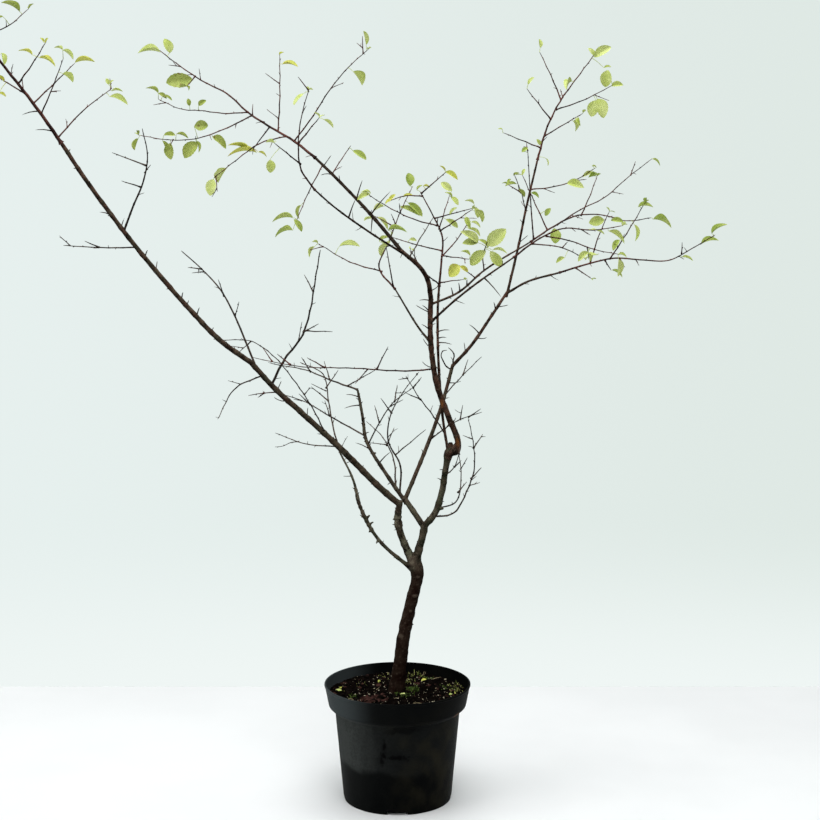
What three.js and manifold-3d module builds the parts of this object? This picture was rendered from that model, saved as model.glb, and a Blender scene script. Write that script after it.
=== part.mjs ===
// A potted cherry plum tree: a black nursery pot, its soil, the trunk, the boughs, and the twigs with
// their leaves. Millimetres, +Z up. The origin is the middle of the pot's underside, with +X to the right
// and +Y to the back.
import * as THREE from "three";
import { mergeVertices } from "three/addons/utils/BufferGeometryUtils.js";
import Module from "manifold-3d";

const wasm = await Module();
wasm.setup();

// Between pieces that touch
const GAP = 0.3;

// The pot: a tapering body under a wider band, on a foot ring with notches and a level middle disc
const pot = {
  height: 179,
  rimRadius: 110.5,
  bandHeight: 34,
  bandFootRadius: 104,
  shoulderHeight: 6,
  bodyRadius: 94.5,
  footRadius: 82,
  wall: 2,
  discRadius: 30,
  baseRise: 7,
  notches: 4,
  notchWidth: 31,
  notchHeight: 6,
  notchDepth: 24,
  drainHoles: 4,
  drainRadius: 6,
  drainCircle: 58,
  drainSides: 8,
  sides: 32,
};

// The soil: level round the trunk, a little lower at the wall
const soil = { top: 166, flatRadius: 26, edgeDrop: 3 };

// Limbs. Each centre line runs through a few places [right, back, up], starting inside what carries it.
// radius is at its start and its end, and a swell is [share of the length, extra radius, spread].
const limbs = {
  trunk: {
    through: [[-4, 0, 150], [2, 0, 191], [9.5, 0, 251], [21, 0, 305], [30, 0, 346], [24, 0, 375]],
    radius: [10.3, 7.6],
    swells: [[0.06, 1.8, 0.09], [0.9, 1.7, 0.05]],
    sides: 9,
  },
  left_stem: {
    through: [[26, 0, 358], [18, -1, 377], [4, -4, 413], [1, -7, 435], [4, -14, 462]],
    radius: [5.8, 4.6],
  },
  right_stem: {
    through: [[25, 0, 360], [31, 1, 380], [38, 6, 406], [42, 10, 423]],
    radius: [6.2, 5.2],
  },
  left_bough_low: {
    through: [
      [4, -12, 456], [-24, -17, 481], [-84, -32, 545],
      [-139, -49, 600], [-172, -58, 632], [-213, -73, 680],
    ],
    radius: [4.9, 3.7],
  },
  left_bough_high: {
    through: [
      [-212, -73, 678], [-248, -84, 706], [-283, -97, 744],
      [-358, -129, 840], [-423, -156, 936], [-454, -166, 987],
    ],
    radius: [3.8, 2.9],
  },
  low_left_bough: {
    through: [
      [22, 1, 355], [-20, 8, 389], [-39, 13, 413],
      [-56, 22, 446], [-67, 37, 485], [-87, 57, 522],
    ],
    radius: [3.2, 1.5],
  },
  crossing_stem: {
    through: [[39, 10, 418], [24, 17, 440], [11, 25, 458]],
    radius: [4.6, 4],
  },
  middle_left_bough: {
    through: [[11, 25, 454], [-13, 42, 486], [-47, 67, 538], [-53, 80, 572], [-61, 96, 613]],
    radius: [2.9, 1.6],
  },
  crossing_bough: {
    through: [[11, 25, 455], [36, 42, 513], [59, 60, 570], [73, 68, 614], [84, 76, 655]],
    radius: [3.3, 2.6],
  },
  right_bough: {
    through: [[83, 76, 652], [112, 77, 684], [143, 82, 729], [166, 90, 763]],
    radius: [2.7, 2.2],
  },
  upper_right_bough: {
    through: [[166, 90, 760], [183, 100, 831], [194, 108, 885], [212, 119, 961]],
    radius: [2.2, 1.6],
  },
  low_right_bough: {
    through: [[165, 90, 761], [197, 82, 780], [243, 71, 794]],
    radius: [1.9, 1.6],
  },
  knot_bough: {
    through: [[40, 10, 418], [56, 9, 438], [66, 9, 468], [72, 8, 505], [77, 6, 534]],
    radius: [5, 4.4],
    swells: [[0.97, 2.2, 0.09]],
  },
  leader_low: {
    through: [
      [76, 5, 530], [88, 0, 534], [90, -1, 549], [75, -7, 589],
      [58, -13, 638], [49, -21, 703], [49, -28, 768],
    ],
    radius: [4.6, 3.6],
  },
  leader_high: {
    through: [[49, -28, 766], [45, -30, 790], [34, -33, 809], [7, -37, 833]],
    radius: [3.6, 3],
  },
  upper_left_bough: {
    through: [[8, -37, 832], [-39, 0, 885], [-93, 38, 939], [-121, 54, 965]],
    radius: [2.9, 2.1],
  },
  second_left_bough: {
    through: [[18, -36, 824], [-39, -82, 863], [-86, -117, 899], [-112, -135, 923]],
    radius: [1.8, 1.3],
  },
  side_right_high: {
    through: [[49, -28, 755], [91, 2, 771], [130, 24, 802], [198, 52, 841]],
    radius: [1.9, 1.3],
  },
  side_right_low: {
    through: [[49, -25, 729], [83, -54, 763], [112, -81, 789], [163, -129, 830]],
    radius: [1.9, 1.3],
  },
  left_subleader: {
    through: [[49, -21, 699], [32, -10, 719], [-3, 26, 773]],
    radius: [1.8, 1.3],
  },
  centre_bough: {
    through: [[76, 6, 530], [68, 16, 580], [61, 20, 671], [60, 24, 740], [62, 24, 777]],
    radius: [2, 1.7],
  },
};

// Masses of twigs. Each grows from one stem, which leaves its bough at a share of the bough's length.
// A shoot is [share of the stem's length, how far it reaches [right, back, up], leaves, sag at its middle].
const masses = {
  left_tip_twigs: {
    on: "left_bough_high",
    at: 1,
    through: [[-488, -174, 1039], [-532, -180, 1098], [-585, -183, 1176], [-622, -186, 1226]],
    radius: [2.8, 0.8],
    leaves: 4,
    shoots: [
      [0.03, [67, 45, 67], 3, 0],
      [0.16, [39, -38, 72], 2, 5],
      [0.22, [50, 42, 55], 3, 0],
      [0.27, [-54, 22, 31], 2, 4],
      [0.33, [46, -33, 54], 2, 0],
      [0.5, [-44, -38, 31], 2, 4],
      [0.6, [60, 22, 36], 3, 5],
      [0.76, [-52, 33, 28], 2, 0],
      [0.86, [23, 27, 46], 2, 0],
    ],
  },
  left_rise_twigs: {
    on: "left_bough_low",
    at: 0.94,
    through: [[-220, -63, 712], [-248, -45, 769], [-276, -33, 801], [-313, -15, 832]],
    radius: [1.6, 0.7],
    leaves: 0,
    shoots: [[0.55, [-5, -27, 26], 0, 0], [0.8, [-22, 18, 1], 0, 0]],
  },
  left_high_twigs: {
    on: "left_bough_high",
    at: 0.64,
    through: [[-361, -147, 903], [-338, -165, 958], [-342, -180, 1007]],
    radius: [1.6, 0.6],
    leaves: 0,
    shoots: [[0.45, [-23, -21, 9], 0, 0], [0.66, [-50, 27, 17], 0, 3]],
  },
  left_level_twigs: {
    on: "left_bough_high",
    at: 0.57,
    through: [[-409, -105, 842], [-474, -67, 843]],
    radius: [1.2, 0.6],
    leaves: 0,
    shoots: [[0.5, [-16, -21, 10], 0, 0]],
  },
  left_side_twigs: {
    on: "left_bough_low",
    at: 0.84,
    through: [[-149, -78, 700], [-131, -87, 721], [-116, -108, 787], [-106, -120, 840]],
    radius: [1.9, 0.7],
    leaves: 0,
    shoots: [[0.43, [23, -18, 14], 0, 0], [0.44, [40, 27, -4], 0, 0], [0.72, [-14, 24, 22], 0, 0]],
  },
  hanging_twigs: {
    on: "left_bough_low",
    at: 0.9,
    through: [[-216, -82, 654], [-232, -97, 639], [-253, -120, 601]],
    radius: [1.2, 0.5],
    leaves: 0,
    shoots: [],
  },
  short_left_twigs: {
    on: "left_bough_low",
    at: 0.79,
    through: [[-191, -45, 628], [-217, -30, 622]],
    radius: [1, 0.6],
    leaves: 0,
    shoots: [[0.5, [-10, 18, -9], 0, 0]],
  },
  arching_twigs: {
    on: "left_bough_low",
    at: 0.49,
    through: [[-128, -75, 622], [-184, -127, 702], [-217, -142, 718], [-241, -150, 717]],
    radius: [1, 0.5],
    leaves: 0,
    shoots: [],
  },
  middle_top_twigs: {
    on: "middle_left_bough",
    at: 1,
    through: [[-76, 101, 620], [-107, 112, 627], [-151, 131, 642], [-184, 144, 645]],
    radius: [1.5, 0.6],
    leaves: 0,
    shoots: [[0.13, [45, -24, 29], 0, 4], [0.35, [-10, 32, 25], 0, 0], [0.6, [-13, -19, 25], 0, 0]],
  },
  middle_side_twigs: {
    on: "middle_left_bough",
    at: 0.62,
    through: [[-103, 99, 571], [-145, 120, 592], [-175, 131, 600]],
    radius: [1.3, 0.6],
    leaves: 0,
    shoots: [[0.45, [-9, 36, 19], 0, 0], [0.7, [-16, -22, 20], 0, 0]],
  },
  middle_right_twigs: {
    on: "middle_left_bough",
    at: 0.55,
    through: [[-32, 47, 561], [-3, 19, 608], [23, 3, 629]],
    radius: [1.2, 0.5],
    leaves: 0,
    shoots: [[0.35, [-8, 23, 23], 0, 0], [0.7, [4, 32, 21], 0, 0]],
  },
  low_left_twigs: {
    on: "low_left_bough",
    at: 1,
    through: [[-94, 66, 543], [-104, 80, 588], [-112, 88, 636], [-149, 99, 655]],
    radius: [1.3, 0.6],
    leaves: 0,
    shoots: [[0.06, [-98, 31, 16], 0, 5], [0.5, [-27, 13, 20], 0, 0], [0.62, [18, 22, 25], 0, 0]],
  },
  inner_left_twigs: {
    on: "middle_left_bough",
    at: 0.07,
    through: [[3, 28, 516], [-17, 19, 556], [-8, 8, 591], [19, -7, 639], [32, -18, 655]],
    radius: [1.5, 0.5],
    leaves: 0,
    shoots: [[0.29, [46, -20, 42], 0, 0], [0.62, [-16, -15, 25], 0, 0]],
  },
  inner_back_twigs: {
    on: "middle_left_bough",
    at: 0.13,
    through: [[-4, 60, 502], [-13, 86, 525], [-35, 116, 551], [-49, 135, 558]],
    radius: [1.3, 0.5],
    leaves: 0,
    shoots: [[0.55, [11, 38, 22], 0, 0]],
  },
  right_outer_twigs: {
    on: "knot_bough",
    at: 0.14,
    through: [[66, 4, 429], [81, -5, 439], [101, -19, 473], [114, -40, 524], [103, -67, 595]],
    radius: [1.5, 0.5],
    leaves: 0,
    shoots: [[0.5, [15, -14, 19], 0, 0], [0.75, [14, 15, 19], 0, 0]],
  },
  right_inner_twigs: {
    on: "knot_bough",
    at: 0.26,
    through: [[79, 14, 439], [91, 24, 463], [96, 38, 516], [90, 45, 535]],
    radius: [1.2, 0.5],
    leaves: 0,
    shoots: [[0.4, [14, 13, 14], 0, 0]],
  },
  knot_twigs: {
    on: "knot_bough",
    at: 0.68,
    through: [[86, -13, 515], [91, -28, 535]],
    radius: [1, 0.5],
    leaves: 0,
    shoots: [[0.5, [10, -11, 12], 0, 0]],
  },
  crossing_side_twigs: {
    on: "crossing_bough",
    at: 0.45,
    through: [[85, 38, 571], [114, 21, 593], [126, 13, 591]],
    radius: [1.2, 0.5],
    leaves: 0,
    shoots: [[0.6, [4, 11, 21], 0, 0], [0.75, [18, -11, 14], 0, 0]],
  },
  crossing_tip_twigs: {
    on: "crossing_bough",
    at: 0.78,
    through: [[91, 59, 625], [109, 47, 662], [126, 37, 671]],
    radius: [1, 0.5],
    leaves: 0,
    shoots: [[0.5, [8, 15, 22], 0, 0]],
  },
  centre_low_twigs: {
    on: "centre_bough",
    at: 0.12,
    through: [[55, 0, 585], [23, -27, 632], [13, -37, 652]],
    radius: [1.1, 0.5],
    leaves: 0,
    shoots: [[0.6, [-22, -21, 13], 0, 0], [0.8, [12, -24, 19], 0, 0]],
  },
  level_twigs: {
    on: "leader_low",
    at: 0.56,
    through: [[8, -45, 660], [-62, -82, 669], [-137, -112, 675], [-202, -135, 691]],
    radius: [1.3, 0.5],
    leaves: 0,
    shoots: [[0.34, [17, -14, 35], 0, 0], [0.62, [-24, -23, 17], 0, 0], [0.8, [-20, 20, 13], 0, 0]],
  },
  subleader_twigs: {
    on: "left_subleader",
    at: 1,
    through: [[-20, 43, 796], [-29, 50, 809], [-14, 56, 837], [3, 70, 881], [23, 78, 923]],
    radius: [1.4, 0.5],
    leaves: 4,
    shoots: [[0.03, [-10, -29, 61], 1, 0], [0.2, [-98, 29, 41], 3, 6], [0.62, [-30, 26, 15], 2, 0]],
  },
  centre_twigs: {
    on: "centre_bough",
    at: 1,
    through: [[66, 27, 826], [65, 27, 860], [53, 28, 881], [34, 29, 916]],
    radius: [1.7, 0.7],
    leaves: 3,
    shoots: [
      [0.02, [-43, -27, 54], 1, 3],
      [0.04, [36, 10, 4], 0, 0],
      [0.3, [41, 32, 50], 3, 0],
      [0.31, [42, -34, -3], 2, 0],
      [0.36, [-77, 69, 17], 2, 0],
      [0.56, [47, -27, 33], 2, 0],
      [0.58, [16, 27, 50], 3, 0],
      [0.62, [-103, -43, 48], 3, 6],
      [0.7, [63, 12, 16], 3, -4],
      [0.95, [-50, 59, -9], 4, 0],
      [0.98, [36, -29, 32], 2, 0],
    ],
  },
  upper_left_twigs: {
    on: "upper_left_bough",
    at: 1,
    through: [[-154, 70, 990], [-219, 99, 1028], [-247, 112, 1054], [-306, 128, 1086], [-364, 144, 1128]],
    radius: [2, 0.6],
    leaves: 2,
    shoots: [
      [0.14, [112, -54, 132], 2, -6],
      [0.19, [-102, -59, -60], 2, -8],
      [0.24, [1, 40, 114], 1, 0],
      [0.29, [-31, 29, -37], 3, 0],
      [0.4, [-161, -75, -29], 5, 18],
      [0.43, [-146, 92, 21], 4, 10],
      [0.76, [-10, -22, -16], 1, 0],
    ],
  },
  leader_side_twigs: {
    on: "leader_high",
    at: 0.82,
    through: [[32, -30, 848], [54, -18, 882]],
    radius: [1, 0.5],
    leaves: 0,
    shoots: [],
  },
  upper_side_twigs: {
    on: "upper_left_bough",
    at: 0.82,
    through: [[-83, 56, 962], [-69, 72, 983]],
    radius: [0.9, 0.5],
    leaves: 1,
    shoots: [],
  },
  upper_hanging_twigs: {
    on: "upper_left_bough",
    at: 0.92,
    through: [[-127, 32, 922], [-147, 8, 874]],
    radius: [0.9, 0.5],
    leaves: 4,
    shoots: [],
  },
  second_left_twigs: {
    on: "second_left_bough",
    at: 1,
    through: [[-131, -153, 955], [-130, -172, 1010], [-117, -180, 1059]],
    radius: [1.3, 0.5],
    leaves: 1,
    shoots: [[0.3, [-33, -37, 29], 1, 0], [0.5, [30, -22, 35], 1, 0]],
  },
  upper_right_twigs: {
    on: "upper_right_bough",
    at: 1,
    through: [[222, 124, 997], [235, 128, 1030], [247, 131, 1050], [272, 140, 1084], [301, 150, 1122]],
    radius: [1.6, 0.6],
    leaves: 3,
    shoots: [
      [0.1, [-59, -22, 23], 1, 0],
      [0.2, [56, -22, 34], 3, 3],
      [0.34, [-38, -17, 46], 1, 0],
      [0.43, [82, -27, 36], 3, 3],
      [0.52, [-32, 20, 72], 1, 0],
    ],
  },
  right_middle_twigs: {
    on: "upper_right_bough",
    at: 0.78,
    through: [[239, 124, 921], [267, 132, 929], [303, 144, 949]],
    radius: [1.1, 0.5],
    leaves: 4,
    shoots: [],
  },
  right_left_twigs: {
    on: "upper_right_bough",
    at: 0.62,
    through: [[186, 92, 914], [174, 84, 942]],
    radius: [0.9, 0.5],
    leaves: 4,
    shoots: [[0.5, [-20, 14, 12], 1, 0]],
  },
  low_right_twigs: {
    on: "low_right_bough",
    at: 1,
    through: [[316, 55, 816], [350, 40, 817], [392, 20, 814], [459, -30, 856]],
    radius: [1.6, 0.6],
    leaves: 3,
    shoots: [
      [0.1, [24, -10, -16], 0, 0],
      [0.19, [26, -18, 79], 1, 0],
      [0.28, [11, 12, -16], 1, 0],
      [0.31, [48, -24, 85], 3, 0],
    ],
  },
  side_high_twigs: {
    on: "side_right_high",
    at: 1,
    through: [[238, 64, 866], [285, 72, 883], [342, 85, 871], [383, 95, 875]],
    radius: [1.4, 0.6],
    leaves: 3,
    shoots: [
      [0.03, [-12, -30, 134], 1, 0],
      [0.16, [-38, 10, 82], 2, 0],
      [0.24, [134, -42, 98], 1, 5],
      [0.44, [27, 36, 58], 1, 0],
    ],
  },
  side_low_twigs: {
    on: "side_right_low",
    at: 1,
    through: [[220, -165, 871], [251, -180, 869], [305, -210, 878]],
    radius: [1.4, 0.6],
    leaves: 3,
    shoots: [[0.2, [81, 69, -25], 4, -4], [0.34, [108, 60, -29], 2, 0]],
  },
  side_rising_twigs: {
    on: "side_right_high",
    at: 0.55,
    through: [[126, 15, 822], [133, 4, 846]],
    radius: [1, 0.6],
    leaves: 5,
    shoots: [],
  },
  side_left_twigs: {
    on: "side_right_high",
    at: 0.46,
    through: [[92, 0, 809]],
    radius: [0.9, 0.5],
    leaves: 2,
    shoots: [],
  },
};

// The rule that twigs and leaves grow by. Lengths are in millimetres, leans and droops are shares of a
// length, turn and leafRoll are in radians, and the rest are shares of the twig that carries the piece.
const growth = {
  kinkEvery: 48,
  kink: 0.09,
  twigletEvery: 105,
  twigletLength: [14, 34],
  twigletRadius: [0.8, 0.5],
  twigletLean: 0.75,
  shootRadius: [1.1, 0.5],
  twigletJitter: 0.5,
  twigletShrink: 0.4,
  turn: 2.4,
  leafLength: [25, 38],
  leafLean: 0.7,
  leafDroop: [0.25, 1.15],
  leafRoll: [-0.8, 0.8],
  leafTop: 0.98,
  leafStretch: 0.42,
  room: 42,
  clear: 1,
  rootFree: 9,
  stretch: 8,
};

// A leaf with its stalk: an outline of [share of the length, share of the half width], from the foot of the
// stalk round the tip and back, which is folded along the midrib. rib is where the midrib stands highest.
const leaf = {
  width: 0.52,
  thickness: 1,
  fold: 0.45,
  curl: 0.2,
  outline: [[0, 0.1], [0.52, 1], [1, 0], [0.52, -1], [0, -0.1]],
  rib: 0.52,
  stalkShare: 0.3,
  roomShare: 0.42,
};

// How finely the solids are cut into faces
const faces = {
  limbStep: 38,
  stemStep: 42,
  limbSides: 6,
  twigSides: 3,
  twigSwell: 1.25,
  weld: 1e-4,
  finest: 0.02,
};

const looks = {
  pot: { color: 0x1a1c1e, roughness: 0.5 },
  soil: { color: 0x2b211b, roughness: 1 },
  bark: { color: 0x4a332b, roughness: 0.85 },
  leafyTwigs: { color: 0x6f7f38, roughness: 0.8 },
  bareTwigs: { color: 0x5a3f33, roughness: 0.85 },
};

// The rule that numbers are drawn by
const draw = { spread: 2654435769, factor: 1664525, step: 1013904223, size: 4294967296 };

const UP = new THREE.Vector3(0, 0, 1);
const BACK = new THREE.Vector3(0, 1, 0);
// A line that rises more than this is taken as upright
const UPRIGHT = 0.9;

// The numbers of one mass, drawn by a rule, so that they are the same in every run
function seeded(seed) {
  let state = (seed * draw.spread) % draw.size;
  return () => {
    state = (state * draw.factor + draw.step) % draw.size;
    return state / draw.size;
  };
}

function between([low, high], share) {
  return low + (high - low) * share;
}

function vector(place) {
  return new THREE.Vector3(...place);
}

// Places a step apart on a smooth line through the given ones
function smoothLine(through, step) {
  const curve = new THREE.CatmullRomCurve3(through, false, "centripetal");
  return curve.getSpacedPoints(Math.max(2, Math.round(curve.getLength() / step)));
}

// How far along a line each of its places is
function distances(points) {
  const far = [0];
  for (let i = 1; i < points.length; i++) far.push(far[i - 1] + points[i].distanceTo(points[i - 1]));
  return far;
}

function lengthOf(points) {
  return distances(points).at(-1);
}

// The place at a share of a line's length, and the way that the line runs there
function walk(points, share) {
  const far = distances(points);
  const wanted = share * far.at(-1);
  let i = 1;
  while (i < points.length - 1 && far[i] < wanted) i++;
  const along = points[i].clone().sub(points[i - 1]).normalize();
  return { place: points[i - 1].clone().addScaledVector(along, wanted - far[i - 1]), along };
}

// A geometry as a solid that can be joined and cut
function solid(geometry) {
  const bare = geometry.clone().deleteAttribute("normal").deleteAttribute("uv");
  const merged = mergeVertices(bare, faces.weld);
  return new wasm.Manifold(
    new wasm.Mesh({
      numProp: 3,
      vertProperties: new Float32Array(merged.attributes.position.array),
      triVerts: new Uint32Array(merged.index.array),
    }),
  );
}

// The largest body of a solid: a cut can leave a loose scrap
function largest(body) {
  return body.decompose().sort((a, b) => b.volume() - a.volume())[0];
}

function mesh(name, body, look) {
  const whole = largest(body).asOriginal().simplify(faces.finest);
  const { numProp, numVert, vertProperties, triVerts } = whole.getMesh();
  const places = new Float32Array(numVert * 3);
  for (let i = 0; i < numVert; i++) {
    places.set(vertProperties.subarray(i * numProp, i * numProp + 3), i * 3);
  }
  const geometry = new THREE.BufferGeometry();
  geometry.setAttribute("position", new THREE.BufferAttribute(places, 3));
  geometry.setIndex(new THREE.BufferAttribute(new Uint32Array(triVerts), 1));
  geometry.computeVertexNormals();
  const made = new THREE.Mesh(geometry, new THREE.MeshStandardMaterial({ ...look, metalness: 0 }));
  made.name = name;
  return made;
}

// Directions square to a twig, to grow sideways by
function sideways(along, turn) {
  const across = new THREE.Vector3().crossVectors(along, Math.abs(along.z) > UPRIGHT ? BACK : UP).normalize();
  const other = new THREE.Vector3().crossVectors(across, along).normalize();
  return across.multiplyScalar(Math.cos(turn)).addScaledVector(other, Math.sin(turn));
}

// A closed tube: a cylinder bent along a line, longer by extra at both ends and wider by it all round
function tube(points, radiusAt, sides, extra = 0) {
  const steps = points.length - 1;
  const far = distances(points);
  const ways = points.map((_, i) => {
    const before = points[Math.max(0, i - 1)];
    const after = points[Math.min(steps, i + 1)];
    return after.clone().sub(before).normalize();
  });
  const normals = [sideways(ways[0], 0)];
  for (let i = 1; i <= steps; i++) {
    const last = normals[i - 1];
    normals.push(last.clone().addScaledVector(ways[i], -last.dot(ways[i])).normalize());
  }
  const geometry = new THREE.CylinderGeometry(1, 1, 1, sides, steps);
  const places = geometry.attributes.position;
  for (let i = 0; i < places.count; i++) {
    const ring = Math.round((places.getY(i) + 0.5) * steps);
    const wide = radiusAt(far[ring] / far[steps]) + extra / Math.cos(Math.PI / sides);
    const across = new THREE.Vector3().crossVectors(normals[ring], ways[ring]);
    const place = points[ring]
      .clone()
      .addScaledVector(normals[ring], places.getX(i) * wide)
      .addScaledVector(across, places.getZ(i) * wide);
    if (ring === 0) place.addScaledVector(ways[ring], -extra);
    if (ring === steps) place.addScaledVector(ways[ring], extra);
    places.setXYZ(i, place.x, place.y, place.z);
  }
  return solid(geometry);
}

function limbRadius({ radius, swells = [] }) {
  return (share) =>
    swells.reduce(
      (sum, [at, extra, spread]) => sum + extra * Math.exp(-(((share - at) / spread) ** 2)),
      between(radius, share),
    );
}

function limbTube(limb, extra = 0) {
  return tube(limb.points, limbRadius(limb), limb.sides ?? faces.limbSides, extra);
}

function twigTube({ points, radius }) {
  return tube(points, (share) => between(radius, share) * faces.twigSwell, faces.twigSides);
}

// A twig that kinks a little to either side on its way from its root to the end of its reach
function crookedTwig(root, reach, sag, radius, random) {
  const steps = Math.max(1, Math.round(reach.length() / growth.kinkEvery));
  const along = reach.clone().normalize();
  const points = [root.clone()];
  for (let i = 1; i < steps; i++) {
    const share = i / steps;
    const place = root.clone().addScaledVector(reach, share);
    const kink = sideways(along, random() * Math.PI * 2);
    place.addScaledVector(kink, growth.kink * growth.kinkEvery * random());
    place.z -= sag * 4 * share * (1 - share);
    points.push(place);
  }
  points.push(root.clone().add(reach));
  return { points, radius };
}

// Short straight stretches of a line, past its root, which stand for the room that it takes
function stretches(points, radius, from = 0) {
  const length = lengthOf(points);
  const steps = Math.max(1, Math.ceil((length - from) / growth.stretch));
  const places = [];
  for (let i = 0; i <= steps; i++) {
    places.push(walk(points, Math.min(1, (from + ((length - from) * i) / steps) / length)).place);
  }
  return places.slice(1).map((place, i) => ({ line: new THREE.Line3(places[i], place), radius }));
}

function isClear(wanted, taken) {
  const nearest = new THREE.Vector3();
  return wanted.every(({ line, radius }) =>
    [line.start, line.end].every((place) =>
      taken.every((other) => {
        other.line.closestPointToPoint(place, true, nearest);
        return nearest.distanceTo(place) > radius + other.radius + growth.clear;
      }),
    ),
  );
}

function isInside(wanted, space) {
  return wanted.every(({ line }) => space.containsPoint(line.end));
}

// A leaf's place: its root on the twig, the way that it points and the way that its face looks
function leafOn(twig, share, turn, random) {
  const { place: root, along } = walk(twig.points, share);
  const length = between(growth.leafLength, random());
  const droop = between(growth.leafDroop, random());
  const way = sideways(along, turn).addScaledVector(along, growth.leafLean).normalize();
  way.z -= droop;
  way.normalize();
  const face = sideways(way, Math.PI / 2 + between(growth.leafRoll, random()));
  if (face.z < 0) face.negate();
  return { root, way, face, length };
}

function leafStretches({ root, way, length }) {
  const start = root.clone().addScaledVector(way, leaf.stalkShare * length);
  const end = root.clone().addScaledVector(way, length);
  return stretches([start, end], length * leaf.width * leaf.roomShare);
}

// A mass's twigs and leaves. What would leave its space, or touch a limb or another mass, is skipped.
function growMass(mass, limb, seed, taken) {
  const random = seeded(seed);
  const start = walk(limb.points, mass.at).place;
  const stemLine = smoothLine([start, ...mass.through.map(vector)], faces.stemStep);
  const stem = { points: stemLine, radius: mass.radius };
  const space = new THREE.Box3().setFromPoints(stem.points);
  for (const [at, reach] of mass.shoots) {
    space.expandByPoint(walk(stem.points, at).place.add(vector(reach)));
  }
  space.expandByScalar(growth.room);
  const fits = (wanted) => isClear(wanted, taken) && isInside(wanted, space);
  const twigFits = (twig) => fits(stretches(twig.points, twig.radius[0], growth.rootFree));

  const bearers = [{ ...stem, leaves: mass.leaves }];
  for (const [at, reach, count, sag] of mass.shoots) {
    const root = walk(stem.points, at).place;
    const shoot = crookedTwig(root, vector(reach), sag, growth.shootRadius, random);
    if (twigFits(shoot)) bearers.push({ ...shoot, leaves: count });
  }

  const twiglets = [];
  const leaves = [];
  for (const bearer of bearers) {
    const count = Math.floor(lengthOf(bearer.points) / growth.twigletEvery);
    const firstTurn = random() * Math.PI * 2;
    for (let i = 0; i < count; i++) {
      const share = (i + growth.twigletJitter * (1 + random())) / count;
      const { place, along } = walk(bearer.points, share);
      const reach = sideways(along, firstTurn + i * growth.turn).addScaledVector(along, growth.twigletLean);
      const grown = random() * (1 - growth.twigletShrink * share);
      reach.setLength(between(growth.twigletLength, grown));
      const twiglet = crookedTwig(place, reach, 0, growth.twigletRadius, random);
      if (twigFits(twiglet)) twiglets.push(twiglet);
    }
    for (let i = 0; i < bearer.leaves; i++) {
      const share = growth.leafTop - (growth.leafStretch * i) / bearer.leaves;
      const grown = leafOn(bearer, share, firstTurn + i * growth.turn, random);
      if (fits(leafStretches(grown))) leaves.push(grown);
    }
  }
  return { twigs: [...bearers, ...twiglets], leaves };
}

// A leaf's solid: its folded outline, joined to the midrib above and below, with its foot sunk in the twig
function leafSolid({ root, way, face, length }) {
  const half = (length * leaf.width) / 2;
  const drop = (share) => -leaf.curl * length * share * share;
  const rim = leaf.outline.map(([share, side]) => [
    share * length,
    side * half * Math.cos(leaf.fold),
    Math.abs(side) * half * Math.sin(leaf.fold) + drop(share),
  ]);
  const midrib = [1, -1].flatMap((side) =>
    [0, leaf.rib].map((share) => [share * length, 0, drop(share) + (side * leaf.thickness) / 2]),
  );
  const last = rim.length - 1;
  const [footTop, ribTop, footBottom, ribBottom] = midrib.map((_, i) => rim.length + i);
  const corners = [[0, footBottom, last], [0, last, footTop]];
  for (let i = 0; i < last; i++) corners.push([i + 1, i, ribTop], [i, i + 1, ribBottom]);
  corners.push([0, footTop, ribTop], [footTop, last, ribTop]);
  corners.push([footBottom, 0, ribBottom], [last, footBottom, ribBottom]);
  const geometry = new THREE.BufferGeometry();
  geometry.setAttribute("position", new THREE.Float32BufferAttribute([...rim, ...midrib].flat(), 3));
  geometry.setIndex(corners.flat());
  const side = new THREE.Vector3().crossVectors(face, way);
  geometry.applyMatrix4(new THREE.Matrix4().makeBasis(way, side, face).setPosition(root));
  return solid(geometry);
}

// A mass as one solid, cut clear of the limbs
function massSolid({ twigs, leaves }, fatLimbs) {
  const joined = [...twigs.map(twigTube), ...leaves.map(leafSolid)].reduce((sum, piece) => sum.add(piece));
  return fatLimbs.reduce((sum, fat) => sum.subtract(fat), joined);
}

// The pot: one turned profile, from the middle of the underside out and up the wall, over the rim and
// down inside
function potSolid() {
  const { height, rimRadius, bandFootRadius, bodyRadius, footRadius, wall, discRadius, baseRise } = pot;
  const bandFoot = height - pot.bandHeight;
  const bodyTop = bandFoot - pot.shoulderHeight;
  const outer = [
    [0, 0],
    [discRadius, 0],
    [discRadius + baseRise, baseRise],
    [footRadius - wall, baseRise],
    [footRadius - wall, 0],
    [footRadius, 0],
    [bodyRadius, bodyTop],
    [bandFootRadius, bandFoot],
    [rimRadius, height],
  ];
  const inner = [
    [rimRadius - wall, height],
    [bandFootRadius - wall, bandFoot],
    [bodyRadius - wall, bodyTop],
    [footRadius - wall, baseRise + wall],
    [discRadius + baseRise, baseRise + wall],
    [discRadius, wall],
    [0, wall],
  ];
  return turned([...outer, ...inner]);
}

// A solid of revolution about +Z, from a profile of [radius, height]
function turned(profile) {
  const points = profile.map(([radius, height]) => new THREE.Vector2(radius, height));
  return solid(new THREE.LatheGeometry(points, pot.sides).rotateX(Math.PI / 2));
}

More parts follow.
